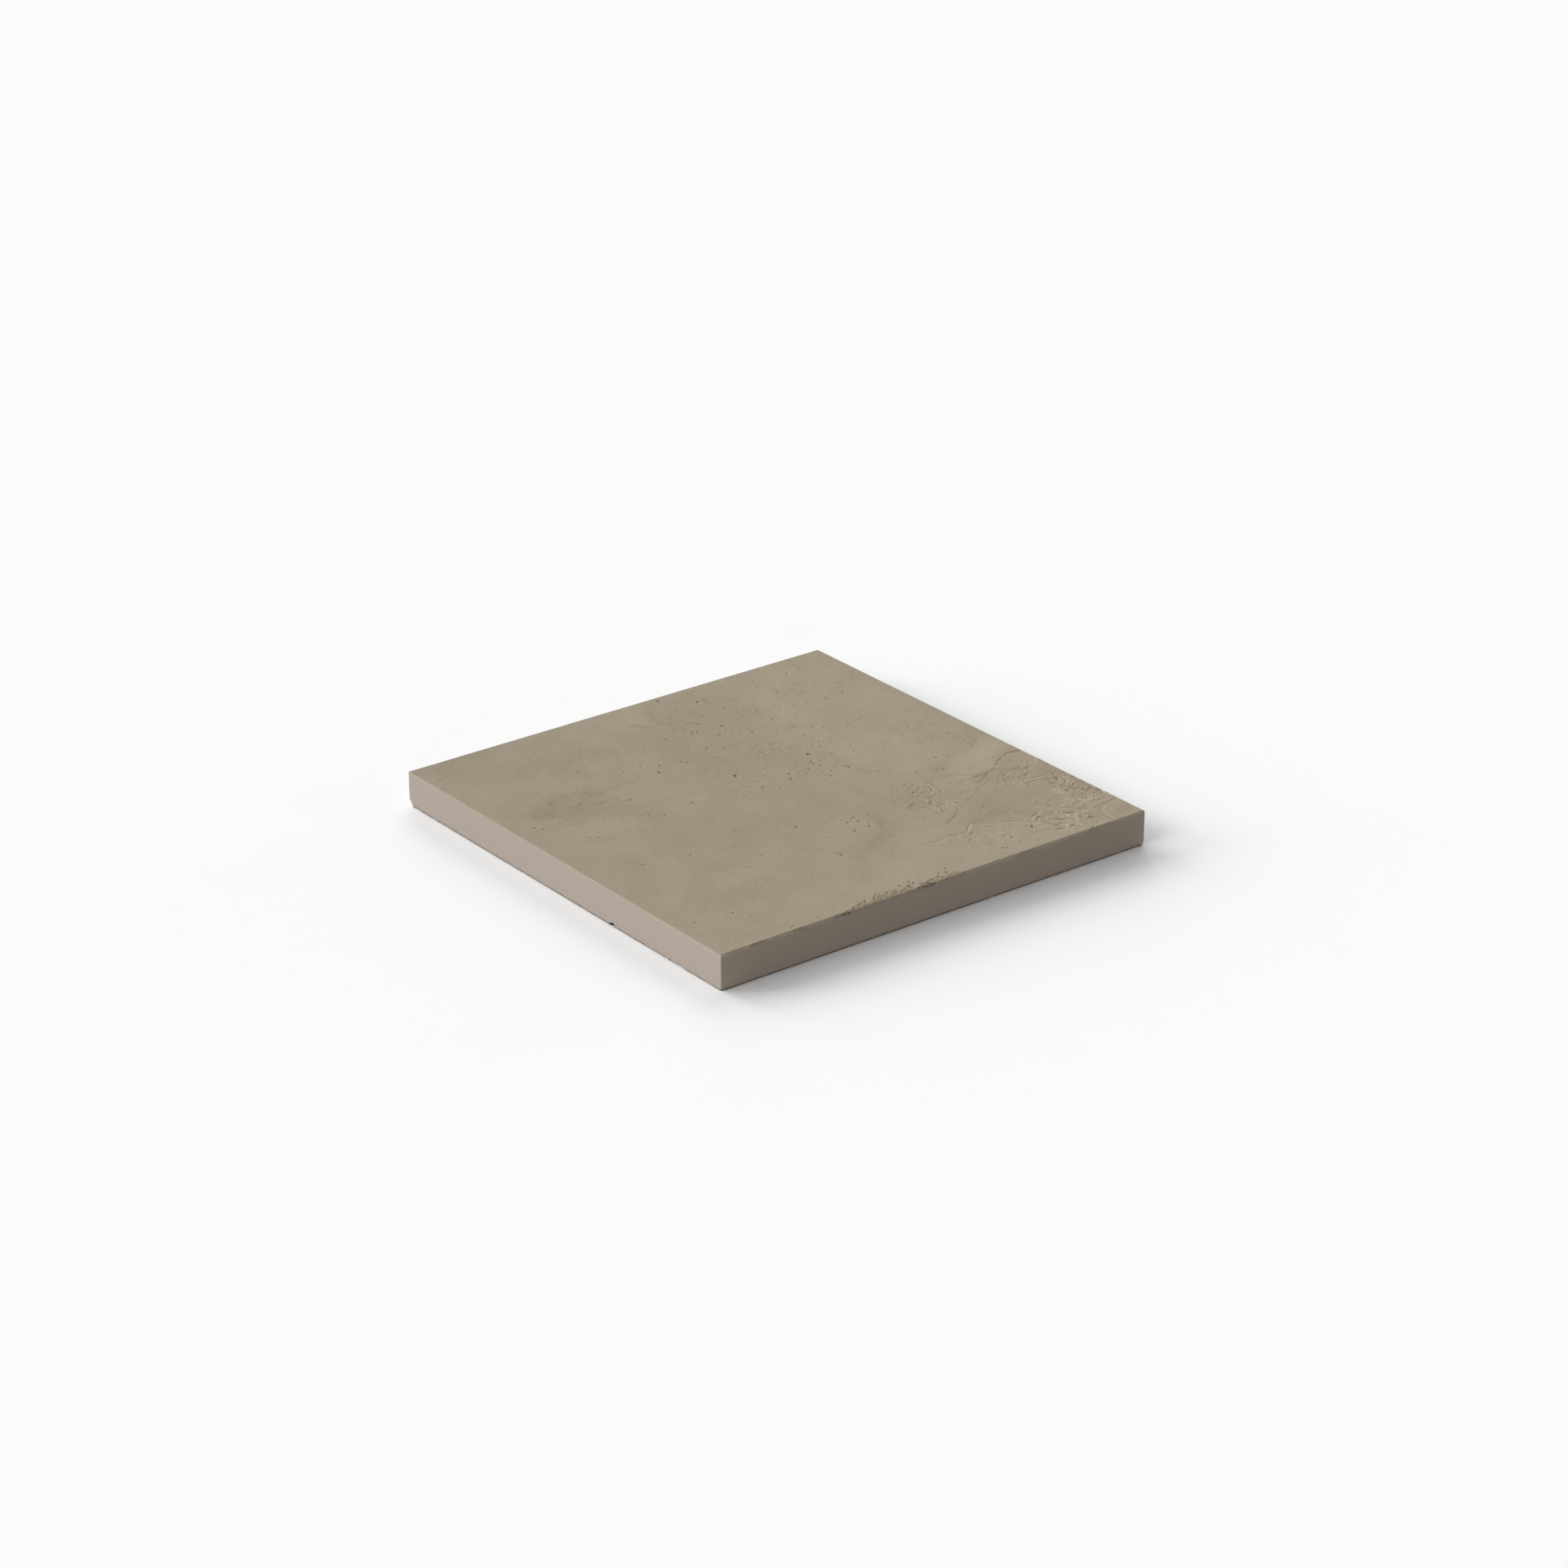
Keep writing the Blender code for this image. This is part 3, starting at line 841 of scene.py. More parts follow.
# The larger pinholes: how far each lies across and along the face, and its radius.
PINHOLES = tuple(Pinhole((across, along), radius) for across, along, radius in (
    (25, 147, 1.25), (43, 131, 1.2), (33, 93, 1.15), (112.4, 132.2, 0.7), (113.6, 134, 0.65),
    (124, 135, 0.75), (91, 113, 0.7), (-31, 69, 0.85), (-36.6, 61.4, 0.95), (-37.4, 59.8, 0.6),
    (-4.4, 30.4, 1.2), (-5.2, 28.6, 0.8), (48.2, 28.8, 1.3), (49, 27.2, 0.9), (18.4, 6.8, 1.1),
    (22, 13, 0.8), (-1.5, 7.6, 0.8), (6, 72, 0.75), (39.8, -4.2, 0.85), (43.8, 11.2, 0.8),
    (35.6, 11, 0.65), (105, -21, 0.65), (13, -63.2, 1.05), (12, -58.4, 0.8), (14, -57.8, 0.7),
    (6.8, -61.2, 0.95), (3.4, -72.4, 0.9), (13.6, -72.8, 0.75), (16, -68.4, 0.65), (-23, -93.2, 0.65),
    (-20, -47.4, 0.7), (65.6, -40.6, 0.45), (5, -49.5, 0.6), (-41, 74.5, 0.7), (-20.4, 81, 0.65),
    (55.4, -141.4, 0.85), (56.8, -142.8, 0.65), (68.4, -133.4, 0.75), (67.8, -141.8, 0.7),
    (73.6, -98.2, 0.6), (93.2, -86, 0.5), (-73, 40, 0.75), (-47.4, 15, 0.65), (-139, 42.2, 0.8),
    (-136, 37, 0.6), (6, 0.6, 0.7), (79.5, 53.4, 0.65), (63, 82, 0.85), (64.6, 100.4, 0.6),
    (61.4, 33.4, 0.75), (63.2, 51.8, 0.55), (8.4, 20, 0.7), (36.8, 32, 0.6), (42.8, 19.2, 0.75),
    (16, 94.6, 0.8), (-15, 62.4, 0.75), (-17.8, 66, 0.6), (134.2, 1.6, 0.75), (134.4, -12.6, 0.6),
    (73, 16.4, 0.6), (86.4, 24.2, 0.55), (112.4, -24.6, 0.65), (111.6, -20.6, 0.5), (-117, 9, 0.6),
    (-85, 18, 0.5), (-77, 15.6, 0.75), (42, 74.6, 0.75), (57.8, -57.8, 0.6), (63, -52.2, 0.55),
    (77, -121.8, 0.5), (72.4, -113, 0.5), (66, -128.8, 0.65), (66.2, -114.2, 0.55),
    (-116, -115, 0.6), (-144, 131, 0.55), (56, -0.6, 0.95), (55.4, 1.2, 0.7),
    (-102, -149, 0.7), (-99.6, -148, 0.6), (12, -142.6, 0.85), (5, -145, 0.7),
    (-15, -143.4, 1), (-14, -146, 1.2), (-18, -147, 1.1), (-22.5, -144.6, 0.8),
    (-33, -146.2, 1), (-43, -147.4, 0.9), (-50, -148.6, 0.8), (2.6, -147.6, 0.9),
    (9.6, -146.6, 0.9), (-28, -148, 0.9),
))


# ----------------------------------------
# A block's skin: one grid over its detailed face, round the eased arrises and along its sides


class Facing(Enum):
    """Which way a block's detailed level face points."""

    UP = 1
    DOWN = -1


@dataclass
class BlockSkin:
    """The skin of a square-edged block, made of cells that halve where its shape needs it.

    Attributes:
        half_x: half the block's length.
        half_y: half its width.
        face_z: height of the detailed level face.
        back_z: height where the sides end, at the plain face.
        facing: which way the detailed face points.
        corner_radius: rounding of the upright arrises.
        arris_radius: rounding of the detailed face's arris.
        pitch: size of the largest cells.
        side_stops: distances below the arris where the sides have a grid line.
        halvings: how many times a cell may halve.
        tolerance: how far a cell may miss the shape before it halves.
        arris_cells: how many cells go round the detailed face's arris.
    """

    half_x: float
    half_y: float
    face_z: float
    back_z: float
    facing: Facing
    corner_radius: float
    arris_radius: float
    pitch: float
    side_stops: Sequence[float]
    halvings: int = 2
    tolerance: float = 0.012 * MM
    arris_cells: int = 4

    def inner(self, half: float) -> float:
        """Half the flat middle, which ends where the corners start to round."""
        return half - self.corner_radius - self.arris_radius

    def lines(self, half: float) -> Array:
        """Rules the sheet in one direction.

        Args:
            half: half the block's size in that direction.

        Returns:
            The grid lines from edge to edge, with every halving counted.
        """
        inner = self.inner(half)
        count = 2 * round(inner / self.pitch)
        flat = np.linspace(-inner, inner, count + 1)
        turn = self.arris_radius * math.pi / 2
        arris = self.corner_radius + np.linspace(0.0, turn, self.arris_cells + 1)
        stops = np.concatenate(([self.corner_radius / 2], arris, arris[-1] + np.array(self.side_stops)))
        coarse = np.concatenate((-(inner + stops)[::-1], flat, inner + stops))
        fine = 2**self.halvings
        return np.interp(np.arange((coarse.size - 1) * fine + 1) / fine, np.arange(coarse.size), coarse)

    def place(self, u: Array, v: Array) -> tuple[Array, Array]:
        """Wraps the flat sheet round the block.

        Args:
            u: the sheet's columns.
            v: its rows.

        Returns:
            The point and the outward direction for each column and row.
        """
        inner_x, inner_y = self.inner(self.half_x), self.inner(self.half_y)
        near_x, near_y = np.clip(u, -inner_x, inner_x)[:, None], np.clip(v, -inner_y, inner_y)[None, :]
        over_x, over_y = u[:, None] - near_x, v[None, :] - near_y
        ring = np.maximum(np.abs(over_x), np.abs(over_y))
        length = np.maximum(np.hypot(over_x, over_y), 1e-12)
        out_x, out_y = over_x / length, over_y / length
        turned = np.clip((ring - self.corner_radius) / self.arris_radius, 0.0, math.pi / 2)
        inset = self.arris_radius * (1.0 - np.sin(turned))
        below = ring - self.corner_radius - self.arris_radius * math.pi / 2
        drop = self.arris_radius * (1.0 - np.cos(turned)) + np.maximum(below, 0.0)
        reach = np.minimum(ring, self.corner_radius)
        sign = self.facing.value
        x = near_x * (self.half_x - inset - self.corner_radius) / inner_x + out_x * reach
        y = near_y * (self.half_y - inset - self.corner_radius) / inner_y + out_y * reach
        points = np.stack((x, y, self.face_z - sign * drop), axis=-1)
        side = np.sin(turned)
        outward = np.stack((out_x * side, out_y * side, sign * np.cos(turned)), axis=-1)
        return points, outward

    def misses(self, relief: Array, size: int) -> Array:
        """Measures how far flat cells miss the relief.

        Args:
            relief: the shape's height on the finest grid.
            size: the cells' size, in fine steps.

        Returns:
            The worst miss in each cell, laid flat between its corners.
        """
        low, high = relief[:-1:size], relief[size::size]
        worst = np.zeros((low.shape[0], (relief.shape[1] - 1) // size))
        for i in range(size + 1):
            row = low + (high - low) * i / size
            actual = relief[i : relief.shape[0] - size + i : size]
            for j in range(size + 1):
                flat = row[:, :-1:size] + (row[:, size::size] - row[:, :-1:size]) * j / size
                worst = np.maximum(worst, np.abs(actual[:, j : relief.shape[1] - size + j : size] - flat))
        return worst

    def leaves(self, relief: Array) -> list[tuple[int, Array, Array]]:
        """Splits the sheet into cells.

        Args:
            relief: the shape's height on the finest grid.

        Returns:
            The size of the cells, in fine steps, and their first column and row, for each size.
        """
        size = 2**self.halvings
        alive = np.ones([(n - 1) // size for n in relief.shape], bool)
        cells = []
        while True:
            split = alive & (self.misses(relief, size) > self.tolerance) if size > 1 else np.zeros_like(alive)
            columns, rows = np.nonzero(alive & ~split)
            cells.append((size, columns * size, rows * size))
            if size == 1:
                return cells
            alive = split.repeat(2, axis=0).repeat(2, axis=1)
            size //= 2

    def rim(self, used: Array, number: Array) -> Array:
        """Walks the sheet's outer edge.

        Args:
            used: which points of the finest grid the mesh has.
            number: each one's number in the mesh.

        Returns:
            The numbers of the used points, once round.
        """
        last_i, last_j = used.shape[0] - 1, used.shape[1] - 1
        ahead_i, ahead_j = np.arange(last_i), np.arange(last_j)
        i = np.concatenate((ahead_i, np.full(last_j, last_i), last_i - ahead_i, np.zeros(last_j, int)))
        j = np.concatenate((np.zeros(last_i, int), ahead_j, np.full(last_i, last_j), last_j - ahead_j))
        return number[i, j][used[i, j]]

    def mesh(
        self, name: str, points: Array, relief: Array, attributes: Mapping[str, Array]
    ) -> bpy.types.Mesh:
        """Weaves the mesh.

        Args:
            name: the mesh's name.
            points: the finished place of each point of the finest grid.
            relief: the height that decides where cells halve.
            attributes: a value for each point of the finest grid, by name.

        Returns:
            A closed mesh whose faces point outwards, its sides closed by a plain level face.
        """
        cells = self.leaves(relief)
        used = np.zeros(relief.shape, bool)
        for size, columns, rows in cells:
            for i, j in ((0, 0), (size, 0), (size, size), (0, size)):
                used[columns + i, rows + j] = True
        number = np.cumsum(used.ravel()).reshape(used.shape) - 1
        corners, counts = [], []
        for size, columns, rows in cells:
            steps = np.arange(size)
            zero, full = np.zeros(size, int), np.full(size, size)
            walk_i = np.concatenate((steps, full, size - steps, zero))
            walk_j = np.concatenate((zero, steps, full, size - steps))
            i, j = columns[:, None] + walk_i, rows[:, None] + walk_j
            kept = used[i, j]
            corners.append(number[i, j][kept])
            counts.append(kept.sum(axis=1))
        rim = self.rim(used, number)
        hub = int(used.sum())
        fan = np.stack((np.roll(rim, -1), rim, np.full(rim.size, hub)), axis=1)
        corners.append(fan.ravel())
        counts.append(np.full(rim.size, 3))
        order, totals = np.concatenate(corners), np.concatenate(counts)
        starts = np.concatenate(([0], np.cumsum(totals)[:-1]))
        if self.facing is Facing.DOWN:
            ends = np.repeat(starts + totals - 1, totals)
            order = order[ends - (np.arange(order.size) - np.repeat(starts, totals))]
        middle = np.array([[0.0, 0.0, self.back_z]])
        places = np.concatenate((points[used], middle))
        made = bpy.data.meshes.new(name)
        made.vertices.add(len(places))
        made.vertices.foreach_set("co", places.astype(np.float32).ravel())
        made.loops.add(order.size)
        made.loops.foreach_set("vertex_index", order.astype(np.int32))
        made.polygons.add(starts.size)
        made.polygons.foreach_set("loop_start", starts.astype(np.int32))
        made.update(calc_edges=True)
        made.validate()
        for key, values in attributes.items():
            layer = made.attributes.new(key, "FLOAT", "POINT")
            layer.data.foreach_set("value", np.append(values[used], 0.0).astype(np.float32))
        made.shade_smooth()
        return made


# ----------------------------------------
# Node trees


class NodeBench:
    """Puts nodes in a tree and wires each one as it goes in."""

    def __init__(self, tree: bpy.types.NodeTree) -> None:
        """Works on this tree."""
        self.tree = tree

    def put(self, kind: str, wires: Mapping[str | int, Any] | None = None, **settings: Any) -> bpy.types.Node:
        """Adds a node.

        Args:
            kind: the node's type.
            wires: what goes into each input, by name or place: another node's output, or a value.
            settings: the node's own properties.

        Returns:
            The new node.
        """
        node = self.tree.nodes.new(kind)
        for name, value in settings.items():
            setattr(node, name, value)
        for key, value in (wires or {}).items():
            if isinstance(value, Socket):
                self.tree.links.new(value, node.inputs[key])
            else:
                node.inputs[key].default_value = value
        return node

    def maths(self, operation: str, *values: Any, clamp: bool = False) -> Socket:
        """The result of one operation on numbers or outputs."""
        wires = dict(enumerate(values))
        return self.put("ShaderNodeMath", wires, operation=operation, use_clamp=clamp).outputs[0]

    def times(self, first: Any, second: Any) -> Socket:
        """The product of two numbers or outputs."""
        return self.maths("MULTIPLY", first, second)

    def vector(self, operation: str, *values: Any) -> bpy.types.Node:
        """One operation on vectors."""
        return self.put("ShaderNodeVectorMath", dict(enumerate(values)), operation=operation)

    def weighed(self, *parts: tuple[Any, float], start: Any = None) -> Socket:
        """Adds parts up.

        Args:
            parts: each part, a number or an output, and how strongly it counts.
            start: what they are added to, if anything.

        Returns:
            The sum.
        """
        result = start
        for value, weight in parts:
            part = self.times(value, weight)
            result = part if result is None else self.maths("ADD", result, part)
        return result

    def ramp(self, value: Any, low: float, high: float, start: float, end: float) -> Socket:
        """Turns low to high into start to end, smoothly, and holds the ends."""
        wires = {0: value, 1: low, 2: high, 3: start, 4: end}
        return self.put("ShaderNodeMapRange", wires, interpolation_type="SMOOTHSTEP").outputs[0]


class FinishBench(NodeBench):
    """A bench for a mineral finish: noises in millimetres over the piece, and one shader."""

    # Darker tone, from the mineral's own colour and from painted shade, is a little browner: how strongly a
    # tone acts on red, green and blue.
    WARMTH_OF_SHADE = (0.93, 1.0, 1.16)

    # What one part of tone does to the colour: a screen's power of 2.2, at a mean of 150 parts of 255.
    TONE_SHARE = 2.2 / 150.0

    def __init__(self, name: str) -> None:
        """Starts a material.

        Args:
            name: the material's name.
        """
        self.material = bpy.data.materials.new(name)
        self.material.use_nodes = True
        super().__init__(self.material.node_tree)
        self.shader = self.tree.nodes["Principled BSDF"]
        place = self.put("ShaderNodeTexCoord").outputs["Object"]
        self.place_mm = self.vector("MULTIPLY", place, (1 / MM, 1 / MM, 1 / MM)).outputs[0]

    def drawn(self, heading: float, stretch: float) -> Socket:
        """Squeezes the place along a heading, so that noise on it is drawn out that way.

        Args:
            heading: the direction of the long way.
            stretch: how many times longer the noise's features become.

        Returns:
            The squeezed place, in millimetres.
        """
        turned = self.put(
            "ShaderNodeVectorRotate",
            {"Vector": self.place_mm, "Axis": (0.0, 0.0, 1.0), "Angle": -math.radians(heading)},
            rotation_type="AXIS_ANGLE",
        ).outputs[0]
        return self.vector("MULTIPLY", turned, (1.0 / stretch, 1.0, 1.0)).outputs[0]

    def noise(self, pitch_mm: float, detail: float = 2.0, place: Any = None) -> Socket:
        """Makes noise.

        Args:
            pitch_mm: size of its largest features.
            detail: how many finer layers it has.
            place: where it is read, in millimetres, if not at the plain place.

        Returns:
            The noise, mostly from -1 to 1.
        """
        wires = {
            "Vector": place or self.place_mm,
            "Scale": 1.0 / pitch_mm,
            "Detail": detail,
            "Roughness": 0.55,
        }
        raw = self.put("ShaderNodeTexNoise", wires, noise_dimensions="3D").outputs["Fac"]
        return self.maths("MULTIPLY_ADD", raw, 4.0, -2.0)

    def attribute(self, name: str) -> Socket:
        """A value that the mesh carries."""
        return self.put("ShaderNodeAttribute", attribute_name=name).outputs["Fac"]

    def specks(self, pitch_mm: float, radius: float, share: float) -> Socket:
        """Small round spots, 1 in the middle of each.

        Args:
            pitch_mm: size of the cells that each may hold one spot.
            radius: largest radius of a spot, as a share of its cell.
            share: the share of cells that have one.

        Returns:
            The spots' strength.
        """
        wires = {"Vector": self.place_mm, "Scale": 1.0 / pitch_mm}
        cell = self.put("ShaderNodeTexVoronoi", wires)
        chosen = self.vector("DOT_PRODUCT", cell.outputs["Color"], (1.0, 0.0, 0.0)).outputs["Value"]
        size = self.ramp(chosen, 1.0 - share, 1.0, 0.0, radius)
        inside = self.maths("SUBTRACT", size, cell.outputs["Distance"])
        return self.ramp(inside, 0.0, 0.5 * radius, 0.0, 1.0)

    def blend(self, share: Any, first: Any, second: Any) -> Socket:
        """Mixes two colours.

        Args:
            share: how much of the second there is, from 0 to 1.
            first: a colour, as an output or three numbers.
            second: the same.

        Returns:
            The mixed colour.
        """
        mix = self.put("ShaderNodeMix", {"Factor": share}, data_type="RGBA", clamp_factor=True)
        for place, colour in ((6, first), (7, second)):
            if isinstance(colour, Socket):
                self.tree.links.new(colour, mix.inputs[place])
            else:
                mix.inputs[place].default_value = (*colour, 1.0)
        return mix.outputs[2]

    def colour(self, hue: Socket, tone: Any) -> None:
        """Wires the base colour.

        Args:
            hue: the colour before it is lightened or darkened.
            tone: how much lighter it is, in parts of 255 of a screen's scale.
        """
        shade = self.vector("SCALE", self.WARMTH_OF_SHADE)
        self.tree.links.new(self.times(tone, self.TONE_SHARE), shade.inputs["Scale"])
        factor = self.vector("ADD", shade.outputs[0], (1.0, 1.0, 1.0))
        lit = self.vector("MULTIPLY", hue, factor.outputs[0])
        self.tree.links.new(lit.outputs[0], self.shader.inputs["Base Color"])

    def roughness(self, value: Any) -> None:
        """Wires the roughness."""
        self.tree.links.new(self.maths("ADD", value, 0.0, clamp=True), self.shader.inputs["Roughness"])

    def bump(self, height_mm: Any) -> None:
        """Wires fine relief, given in millimetres."""
        bump = self.put("ShaderNodeBump", {"Strength": 1.0, "Distance": MM, "Height": height_mm})
        self.tree.links.new(bump.outputs[0], self.shader.inputs["Normal"])


@dataclass(frozen=True)
class SkimFinish:
    """The trowelled olive-taupe mineral coat.

    Attributes:
        name: the material's name.
        base: its mean colour.
        warm: the colour of its browner clouds.
        rim: the colour of its cut sides.
        roughness: its mean roughness.
        gloss: how strongly it mirrors at right angles.
    """

    name: str = "skim_olive_taupe"
    base: Colour = (0.271, 0.230, 0.162)
    warm: Colour = (0.273, 0.229, 0.160)
    rim: Colour = (0.314, 0.270, 0.214)
    roughness: float = 0.62
    gloss: float = 0.05

    def material(self) -> bpy.types.Material:
        """Builds the material.

        Returns:
            The material, which reads the coat's tone, rough, pin and side attributes.
        """
        bench = FinishBench(self.name)
        tone, rough, pin = (bench.attribute(name) for name in ("tone", "rough", "pin"))
        pores = bench.specks(3.4, 0.13, 0.16)
        grit = bench.noise(0.55, 1.0)
        mottle = bench.noise(1.7, 3.0)
        cloud = bench.noise(9.0, 4.0)
        drift = bench.noise(34.0, 3.0)
        drags = bench.noise(1.3, 2.0, bench.drawn(34.0, 7.0))
        swept = bench.noise(2.8, 3.0, bench.drawn(-22.0, 5.0))
        face = bench.blend(bench.maths("MULTIPLY_ADD", drift, 0.5, 0.5), self.base, self.warm)
        bench.colour(
            bench.blend(bench.attribute("side"), face, self.rim),
            bench.weighed(
                # Painted shade in the pinholes and the pores.
                (pin, -38.0),
                (pores, -14.0),
                (grit, 4.0),
                (mottle, 4.2),
                (cloud, 1.8),
                (drags, 2.2),
                (swept, 1.4),
                start=tone,
            ),
        )
        bench.roughness(
            bench.weighed((rough, 0.22), (cloud, 0.045), (swept, 0.04), (pores, 0.2), start=self.roughness)
        )
        bench.bump(
            bench.weighed((grit, 0.006), (mottle, 0.012), (drags, 0.007), (swept, 0.011), (pores, -0.16))
        )
        bench.shader.inputs["Specular IOR Level"].default_value = self.gloss
        return bench.material


@dataclass(frozen=True)
class StoneFinish:
    """The plain pinkish-taupe stone, sawn and rubbed.

    Attributes:
        name: the material's name.
        base: its mean colour.
        warm: the colour of its pinker clouds; the two Y sides take it in full, as a painted tint of shade.
        roughness: its mean roughness.
        gloss: how strongly it mirrors at right angles.
    """

    name: str = "stone_pinkish_taupe"
    base: Colour = (0.305, 0.262, 0.231)
    warm: Colour = (0.303, 0.252, 0.209)
    roughness: float = 0.74
    gloss: float = 0.05

    def material(self) -> bpy.types.Material:
        """Builds the material.

        Returns:
            The material, which reads the core's scar, sawn, crosswise and pale attributes.
        """
        bench = FinishBench(self.name)
        scar, sawn = bench.attribute("scar"), bench.attribute("sawn")
        crosswise, pale = bench.attribute("crosswise"), bench.attribute("pale")
        grains = bench.specks(1.6, 0.3, 0.3)
        pores = bench.specks(2.6, 0.12, 0.12)
        grit = bench.noise(0.4, 1.0)
        mottle = bench.noise(2.2, 3.0)
        cloud = bench.noise(26.0, 4.0)
        crush = bench.noise(0.9, 4.0)
        # The two Y sides take the warm colour in full, a painted tint of shade; pale holds painted light and
        # shade.
        bench.colour(
            bench.blend(bench.maths("MULTIPLY_ADD", cloud, 0.15, crosswise), self.base, self.warm),
            bench.weighed(
                (grit, 1.6),
                (mottle, 1.2),
                (cloud, 1.0),
                (grains, 2.4),
                # Painted shade in the pores.
                (pores, -8.0),
                (scar, -5.0),
                (sawn, 4.0),
                start=pale,
            ),
        )
        bench.roughness(bench.weighed((scar, 0.2), (grains, -0.12), (cloud, 0.03), start=self.roughness))
        crushed = bench.times(crush, scar)
        bench.bump(bench.weighed((grit, 0.005), (mottle, 0.008), (pores, -0.1), (crushed, 0.09)))
        bench.shader.inputs["Specular IOR Level"].default_value = self.gloss
        return bench.material


@dataclass(frozen=True)
class FloorFinish:
    """The pale matt floor of the studio.

    Attributes:
        name: the material's name.
        base: its colour.
    """

    name: str = "studio_floor"
    base: Colour = (0.85, 0.85, 0.85)

    def material(self) -> bpy.types.Material:
        """Builds the material.

        Returns:
            The material.
        """
        material = bpy.data.materials.new(self.name)
        material.use_nodes = True
        shader = material.node_tree.nodes["Principled BSDF"]
        shader.inputs["Base Color"].default_value = (*self.base, 1.0)
        shader.inputs["Roughness"].default_value = 1.0
        shader.inputs["Specular IOR Level"].default_value = 0.0
        return material


# Faces that meet at more than this are shaded as a sharp edge.
SHARP_FROM_DEGREES = 60.0


class ShapeTree(NodeBench):
    """A Geometry Nodes tree with named inputs, which reshapes a mesh and gives it its material."""

    def __init__(self, name: str, inputs: Mapping[str, str]) -> None:
        """Starts the tree.

        Args:
            name: the tree's name.
            inputs: each input's name and socket type, apart from the geometry and the material.
        """
        tree = bpy.data.node_groups.new(name, "GeometryNodeTree")
        super().__init__(tree)
        sockets = {"Geometry": "NodeSocketGeometry", **inputs, "Material": "NodeSocketMaterial"}
        for label, kind in sockets.items():
            tree.interface.new_socket(label, in_out="INPUT", socket_type=kind)
        tree.interface.new_socket("Geometry", in_out="OUTPUT", socket_type="NodeSocketGeometry")
        self.given = self.put("NodeGroupInput").outputs

    def normal_ramp(self, low: float, high: float) -> Socket:
        """1 where the surface's direction has a height of high or beyond, falling to 0 at low."""
        normal = self.put("GeometryNodeInputNormal").outputs[0]
        return self.ramp(self.put("ShaderNodeSeparateXYZ", {0: normal}).outputs[2], low, high, 0.0, 1.0)

    def sample(self, source: Any, value: Any, index: Any, kind: str) -> Socket:
        """A value of this kind, read at one point of another geometry."""
        wires = {"Geometry": source, "Value": value, "Index": index}
        return self.put("GeometryNodeSampleIndex", wires, data_type=kind, domain="POINT").outputs[0]

    def finish(self, rise: Any, mark: str, value: Any) -> None:
        """Ends the tree: lifts the points, marks them, and gives the plain geometry its material.

        Args:
            rise: how far each point goes up.
            mark: the name of an attribute to store.
            value: the attribute's value.
        """
        shift = self.put("ShaderNodeCombineXYZ", {2: rise}).outputs[0]
        wires = {"Geometry": self.given["Geometry"], "Offset": shift}
        moved = self.put("GeometryNodeSetPosition", wires).outputs[0]
        wires = {"Geometry": moved, "Name": mark, "Value": value}
        stored = self.put("GeometryNodeStoreNamedAttribute", wires, data_type="FLOAT", domain="POINT")
        plain = self.put("GeometryNodeRealizeInstances", {"Geometry": stored.outputs[0]}).outputs[0]
        wires = {"Geometry": plain, "Material": self.given["Material"]}
        dressed = self.put("GeometryNodeSetMaterial", wires).outputs[0]
        self.put("NodeGroupOutput", {0: dressed})

    def applied(self, name: str, mesh: bpy.types.Mesh, values: Mapping[str, Any]) -> bpy.types.Object:
        """Runs the tree on a mesh.

        Args:
            name: the finished piece's name.
            mesh: the mesh that goes in.
            values: what each named input is set to.

        Returns:
            A linked object with the plain result and no modifier.
        """
        draft = added(f"{name}_draft", mesh)
        modifier = draft.modifiers.new(self.tree.name, "NODES")
        modifier.node_group = self.tree
        inputs = [item for item in self.tree.interface.items_tree if item.in_out == "INPUT"]
        sockets = {item.name: item.identifier for item in inputs}
        for label, value in values.items():
            modifier[sockets[label]] = value
        graph = bpy.context.evaluated_depsgraph_get()
        result = bpy.data.meshes.new_from_object(draft.evaluated_get(graph), depsgraph=graph)
        bpy.data.objects.remove(draft)
        result.name = name
        result.shade_smooth()
        result.set_sharp_from_angle(angle=math.radians(SHARP_FROM_DEGREES))
        return added(name, result)


